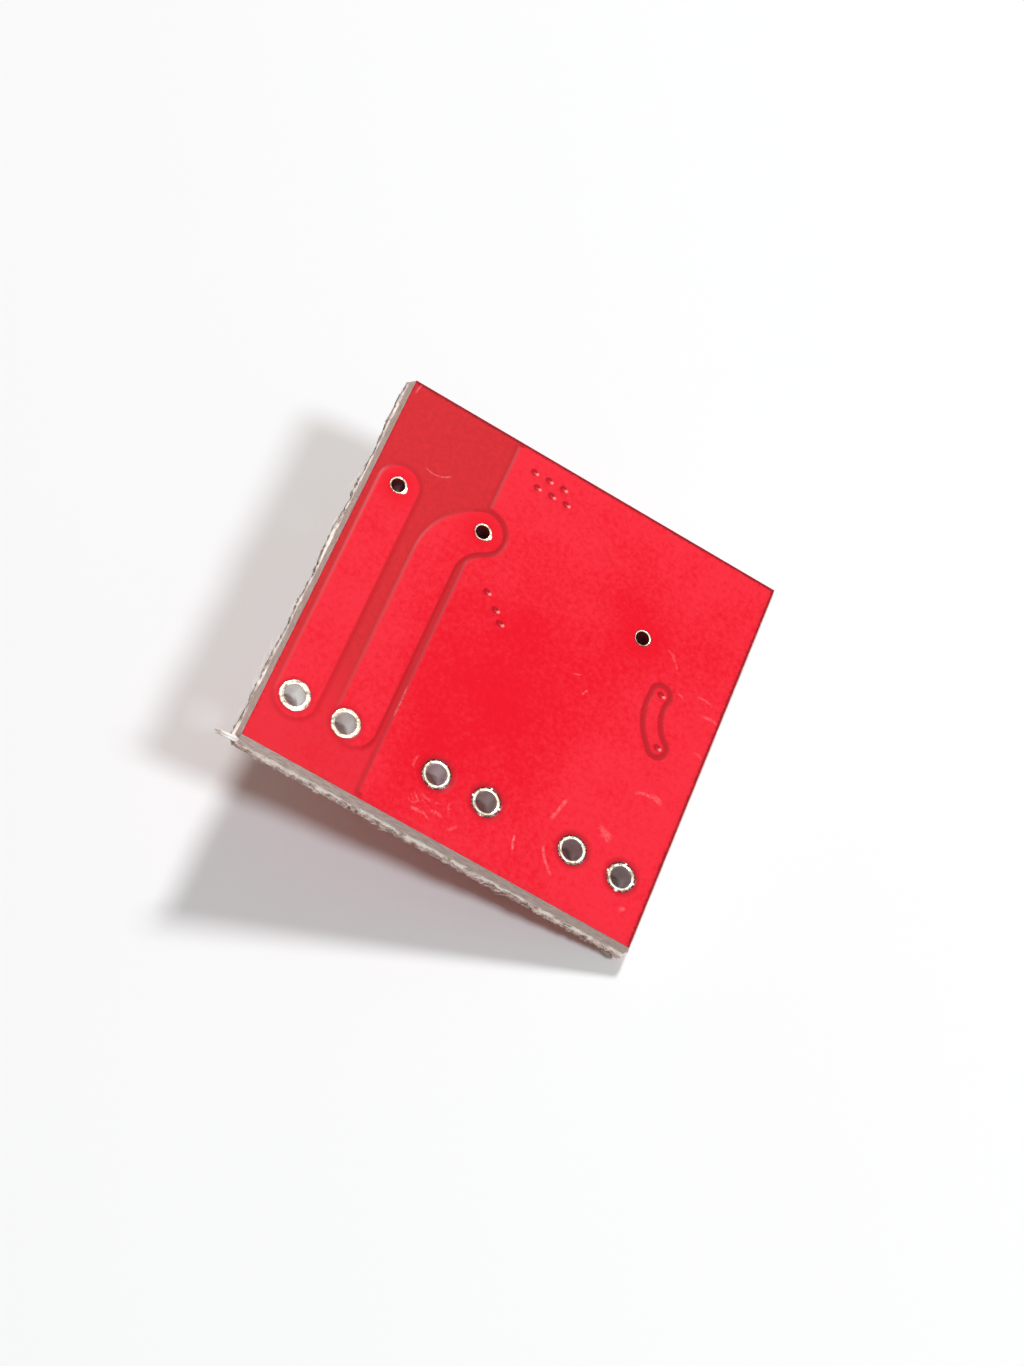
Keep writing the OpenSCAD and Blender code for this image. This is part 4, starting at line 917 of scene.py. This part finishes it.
def makeLaminate():
    columns, rows = edgeColumns(), edgeRows()
    distance = np.array([(c[2] + c[3]) * board["side"] for c in columns])
    teeth = (np.maximum(0, waves(distance, 0.36, 5)) * 0.5 + np.maximum(0, waves(distance, 0.16, 6)) * 0.65
             + np.abs(waves(distance, 0.08, 7)) * 0.4)
    points, run, depth, shade = [], [], [], []
    last = len(rows) - 1
    for k, (z, score, web) in enumerate(rows):
        strands = waves(distance + 17.3 * k, 0.9, 11) * 0.6 + waves(distance + 9.3 * k, 0.3, 12) * 0.4
        sway = waves(distance, 0.4, 60 + k)
        low = max(0.0, (-z - 0.75) / 0.4) if web > 0 else 0.0     # the lower half is torn deeper
        for c, (base, out, number, along) in enumerate(columns):
            torn = webReachAt(number, along) - board["scoreRun"]
            share = edgeLook["sideShare"][number]
            ragged = edgeLook["strandDepth"] * strands[c] - edgeLook["bite"] * teeth[c] * (0.25 + low)
            reach = board["scoreRun"] * score + web * (torn + share * (0.02 + ragged))
            xy = base + out * max(0.0, reach)
            slip = 0.02 * sway[c] if 0 < k < last else 0.0
            deep = z * edgeLook["scoreShare"][number] if z > -board["thickness"] / 2 else z
            points.append((xy[0], xy[1], deep + slip))
            run.append(distance[c])
            depth.append(z)
            dim = edgeLook["bevelShade"] * min(1.0, 2 * along) * (1 - web) if number == 0 else 0.0
            shade.append(dim + edgeLook["sideShade"][number] * (0.4 + 0.6 * web))
    n = len(columns)
    faces = []
    for k in range(last):
        for c in range(n):
            a, b = k * n + c, k * n + (c + 1) % n
            faces.append((a, a + n, b + n, b))
    groups = zip((wireHoles.values(), openVias.values(), coveredVias), edgeLook["openings"])
    holes = [(at, radius) for places, radius in groups for at in places]
    count = edgeLook["openingSides"]
    rims = []
    for at, radius in holes:
        for z in (0.0, -board["thickness"]):
            rims.append([len(points) + i for i in range(count)])
            for i in range(count):
                a = 2 * pi * i / count
                points.append((at[0] + radius * cos(a), at[1] + radius * sin(a), z))
                run.append(at[0])
                depth.append(z)
                shade.append(0.0)
        upper, lower = rims[-2], rims[-1]
        for i in range(count):
            j = (i + 1) % count
            faces.append((upper[i], upper[j], lower[j], lower[i]))
    for ring, loops, flip in ((list(range(n)), rims[::2], False),
                              (list(range(last * n, last * n + n)), rims[1::2], True)):
        order = [i for loop in [ring] + loops for i in loop]
        outlines = [[Vector((points[i][0], points[i][1], 0)) for i in loop] for loop in [ring] + loops]
        for a, b, c in tessellate_polygon(outlines):
            a, b, c = order[a], order[b], order[c]
            u = np.subtract(points[b], points[a])
            v = np.subtract(points[c], points[a])
            up = u[0] * v[1] - u[1] * v[0] > 0
            faces.append((a, b, c) if up != flip else (a, c, b))
    piece = newPiece("snappedLaminate", insideCadBox(points), faces, laminateMaterial())
    piece.data.polygons.foreach_set("use_smooth", [len(f) == 4 for f in faces])
    for name, values in (("run", run), ("depth", depth), ("shade", shade)):
        pointValues(piece, name, values)
    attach(piece, "root")
    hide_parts("woven_laminate")
    print("laminate:", len(faces), "faces")


def fibre(points, faces, path, radius, sides=5):
    path = np.asarray(path)
    first = len(points)
    for i, p in enumerate(path):
        ahead = path[min(i + 1, len(path) - 1)] - path[max(i - 1, 0)]
        ahead = ahead / np.linalg.norm(ahead)
        u = np.cross(ahead, [0.31, 0.53, 0.79])
        u /= np.linalg.norm(u)
        v = np.cross(ahead, u)
        thin = radius * (1 - 0.8 * i / (len(path) - 1))
        for s in range(sides):
            a = 2 * pi * s / sides
            points.append(p + thin * (cos(a) * u + sin(a) * v))
    for i in range(len(path) - 1):
        for s in range(sides):
            a, b = first + i * sides + s, first + i * sides + (s + 1) % sides
            faces.append((a, b, b + sides, a + sides))
    faces.append([first + s for s in range(sides)][::-1])
    faces.append([first + (len(path) - 1) * sides + s for s in range(sides)])


def fibreMaterial():
    # drawn E-glass strands pulled out of the cloth: bright white with a silky glint
    material, tree, shader = newMaterial("loose glass strands", Roughness=0.35, Specular_IOR_Level=0.5)
    place = addNode(tree, "TexCoord").outputs["Object"]
    tone = addNode(tree, "TexNoise", {"Vector": place, "Scale": perMillimetre(0.4), "Detail": 3.0})
    joinSurface(tree, shader, twoTone(tree, tone, 0.3, 0.7, *edgeLook["fibreColours"]))
    return material


def makeFibres():
    side = board["side"]
    frames = sideFrames()
    points, faces = [], []
    for _ in range(edgeLook["fibres"]):
        number = int(rng.choice([0, 0, 0, 1, 2, 2, 3, 3]))
        origin, run, out = frames[number]
        along = rng.uniform(0.01, 0.99)
        z = rng.choice([-0.52, -1.08]) + rng.normal(0, 0.06) if rng.uniform() < 0.6 else rng.uniform(-1.1, -0.5)
        out = np.array([*out, 0.0])
        way = np.array([*run, 0.0]) * rng.choice([-1, 1])
        base = np.array([*(origin + run * side * along), z])
        start = base + out * (webReachAt(number, along) - 0.07)
        length = rng.uniform(0.12, 0.5)
        heading = way * rng.uniform(0.6, 1.0) + out * rng.uniform(0.0, 0.32) * edgeLook["sideShare"][number] \
            + np.array([0, 0, rng.uniform(-0.25, 0.25)])
        bend = out * rng.uniform(-0.1, 0.1)
        path = [start + heading * length * t + bend * t * t * 0.6 for t in (0, 0.35, 0.7, 1.0)]
        fibre(points, faces, path, edgeLook["fibreRadius"] * rng.uniform(0.6, 1.6))
    past, below = edgeLook["tuftAt"]
    for _ in range(edgeLook["tuftStrands"]):   # the tuft at the corner by the first hole
        start = np.array([rng.uniform(-0.15, 0.05), rng.normal(past, 0.035), rng.normal(below, 0.045)])
        length = rng.uniform(0.75, 0.95) if rng.uniform() < 0.7 else rng.uniform(0.25, 0.7)
        heading = np.array([-1.0, rng.normal(-0.1, 0.03), rng.normal(0.0, 0.04)])
        path = [start + heading * length * t + np.array([0, 0.03 * t * t, 0]) for t in (0, 0.3, 0.6, 1.0)]
        fibre(points, faces, path, edgeLook["tuftRadius"] * rng.uniform(0.7, 1.3))
    origin, run, out = frames[3]
    run, out = np.array([*run, 0.0]), np.array([*out, 0.0])
    for _ in range(edgeLook["hairs"]):
        start = np.array([*origin, 0.0]) + run * side * rng.uniform(0.05, 0.95) + out * rng.uniform(0.3, 0.4) \
            + np.array([0, 0, rng.uniform(-0.9, -0.5)])
        heading = run * rng.choice([-1, 1]) + out * rng.uniform(0.0, 0.22)
        path = [start + heading * t for t in np.linspace(0, rng.uniform(0.5, 1.3), 5)]
        fibre(points, faces, path, edgeLook["fibreRadius"] * 1.6)
    piece = newPiece("looseFibres", insideCadBox(points), faces, fibreMaterial())
    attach(piece, "root")
    print("loose fibres:", len(faces), "faces")


makeLaminate()
makeFibres()


# each row: material, two colours, blotch size, roughness, metallic, grain size and depth in millimetres
frontLook = {
    # woven glass laminate, pressed: matt, with the weave just showing
    "glass_fibre_laminate": ("pressed glass laminate", "#D9CFBE", "#C4B8A4", 0.5, 0.6, 0.0, 0.2, 0.02),
    # etched copper foil: warm and bright, brushed clean before the mask goes on
    "copper_foil": ("etched copper foil", "#C47A4E", "#B56A40", 0.5, 0.35, 1.0, 0.08, 0.004),
    # screened epoxy ink: flat off-white with a slightly rough skin
    "legend_ink": ("screened white ink", "#F2F1EC", "#E6E4DC", 0.4, 0.6, 0.0, 0.08, 0.006),
    # the same mask as on the back, printed over flat ground
    "solder_mask": ("cured epoxy mask", "#D6152A", "#C51324", 1.6, 0.42, 0.0, 0.35, 0.006),
    # black epoxy moulding compound, ejected from a spark-eroded mould: matt, fine-grained, never quite black
    "moulding_compound": ("moulded black epoxy", "#1B1C1E", "#26272A", 0.3, 0.55, 0.0, 0.06, 0.008),
    # deep-drawn aluminium can: soft mirror with faint draw lines
    "can_aluminium": ("drawn aluminium", "#D6D7D9", "#C4C6C9", 0.8, 0.28, 1.0, 0.12, 0.004),
    # moulded nylon base: satin black
    "base_plastic": ("moulded black nylon", "#171718", "#202022", 0.4, 0.45, 0.0, 0.08, 0.006),
    # stamped copper-alloy leads dipped in tin: dull silver
    "tinned_leads": ("tinned lead frame", "#D5D2CA", "#BEBBB3", 0.3, 0.32, 1.0, 0.1, 0.008),
    # fired barium titanate: tan, dense and slightly waxy
    "capacitor_ceramic": ("fired tan ceramic", "#B08A62", "#A27C55", 0.3, 0.5, 0.0, 0.05, 0.006),
    # pressed and fired alumina: chalky white
    "alumina": ("fired white alumina", "#ECEAE4", "#DEDBD3", 0.2, 0.55, 0.0, 0.04, 0.006),
    # overglaze printed on the resistor and fired: black and smooth
    "resistor_glass": ("fired black overglaze", "#17181A", "#222326", 0.2, 0.3, 0.0, 0.08, 0.006),
    # plated part ends under a thin coat of solder: soft silver
    "tinned_ends": ("plated part ends", "#D9D6CF", "#C3C0B8", 0.2, 0.35, 1.0, 0.06, 0.012),
    # tin solder melted in the oven: smooth, bright and rounded
    "solder_alloy": ("reflowed solder", "#DAD7D0", "#C6C3BA", 0.3, 0.22, 1.0, 0.15, 0.02),
}


def frontMaterial(name, low, high, blotch, roughness, metallic, grain, depth):
    level = 0.22 if "mask" in name else 0.5
    material, tree, shader = newMaterial(name, Roughness=roughness, Metallic=metallic, Specular_IOR_Level=level)
    place = addNode(tree, "TexCoord").outputs["Object"]
    cloud = addNode(tree, "TexNoise", {"Vector": place, "Scale": perMillimetre(blotch), "Detail": 3.0})
    colour = twoTone(tree, cloud, 0.3, 0.7, low, high)
    skin = addNode(tree, "TexNoise", {"Vector": place, "Scale": perMillimetre(grain), "Detail": 3.0})
    relief = addNode(tree, "Bump", {"Height": skin, "Distance": depth * millimetre})
    joinSurface(tree, shader, colour, relief)
    return material


canLook = {
    "ink": "#1A1A1C",
    "inkStart": 0.45,      # the marked segment begins at this share of the radius
    "inkMargin": 0.4,      # and stops this many millimetres inside the rim
    "inkBlur": 0.03,
}


def canMaterial():
    # deep-drawn aluminium can with the black ink segment that marks the negative side of its end: soft mirror,
    # faint draw lines, satin where it is printed; the side is the one whose base corners aren't cut
    material = frontMaterial(*frontLook["can_aluminium"])
    tree = material.node_tree
    shader = tree.nodes["Principled BSDF"]
    can = nodePoints("bulk_capacitor_can")
    base = nodePoints("bulk_capacitor_base")[:, :2]
    middle = middleOf("bulk_capacitor_can")
    radius = np.ptp(can[:, 0]) / 2
    away = np.linalg.norm(base - middle, axis=1)
    side = base[away > away.max() - 0.1].mean(axis=0) - middle
    end = toWorld([(*middle, can[:, 2].min())])[0]
    side = toWorld([(*side / np.linalg.norm(side), 0.0)])[0] - np.array(corner)
    place = addNode(tree, "TexCoord").outputs["Object"]
    apart = addNode(tree, "VectorMath", (place, end), operation="SUBTRACT")
    across = addNode(tree, "VectorMath", (apart, side / np.linalg.norm(side)), operation="DOT_PRODUCT")
    inward = addNode(tree, "VectorMath", (apart, axisZ), operation="DOT_PRODUCT")
    reach = addNode(tree, "VectorMath", (apart,), operation="LENGTH")
    start = canLook["inkStart"] * radius * millimetre
    margin = (radius - canLook["inkMargin"]) * millimetre
    soften = canLook["inkBlur"] * millimetre
    across = addNode(tree, "MapRange", (across, start, start + soften, 0.0, 1.0))
    reach = addNode(tree, "MapRange", (reach, margin, margin - soften, 0.0, 1.0))
    inward = addNode(tree, "MapRange", (inward, 2 * soften, soften, 0.0, 1.0))
    ink = addNode(tree, "Math", (across, reach), operation="MULTIPLY")
    ink = addNode(tree, "Math", (ink, inward), operation="MULTIPLY")
    bare = shader.inputs["Base Color"].links[0].from_socket
    colour = addNode(tree, "Mix", {0: ink, 6: bare, 7: canLook["ink"]}, **rgb)
    joinSurface(tree, shader, colour)
    metal = addNode(tree, "MapRange", (ink, 0.0, 1.0, 1.0, 0.0))
    tree.links.new(metal.outputs[0], shader.inputs["Metallic"])
    satin = addNode(tree, "MapRange", (ink, 0.0, 1.0, shader.inputs["Roughness"].default_value, 0.5))
    tree.links.new(satin.outputs[0], shader.inputs["Roughness"])
    return material


finishes = {slot: frontMaterial(*row) for slot, row in frontLook.items()}
finishes["can_aluminium"] = canMaterial()
finishes["tinned_plating"] = tinMaterial()


def dressNodes():
    for part in frame["record"]["subparts"]:
        item = frame["nodes"][part["node"]]
        finish = finishes[part["material_slot"]]
        if not item.material_slots:
            item.data.materials.append(finish)
        for place in item.material_slots:
            place.material = finish


def softenEdges(names, width):
    for name in names:
        item = frame["nodes"][name]
        weld = item.modifiers.new("weld", "WELD")
        weld.merge_threshold = 1e-6
        bevel = item.modifiers.new("softEdges", "BEVEL")
        bevel.width = width * millimetre
        bevel.segments = 2
        bevel.limit_method = "ANGLE"
        bevel.angle_limit = radians(40)


dressNodes()
softenEdges(["amplifier_chip_body", "transistor_body"], 0.05)
softenEdges([n for n in frame["nodes"] if n.endswith(("capacitor_ends", "resistor_ends"))], 0.03)
print("front parts dressed")
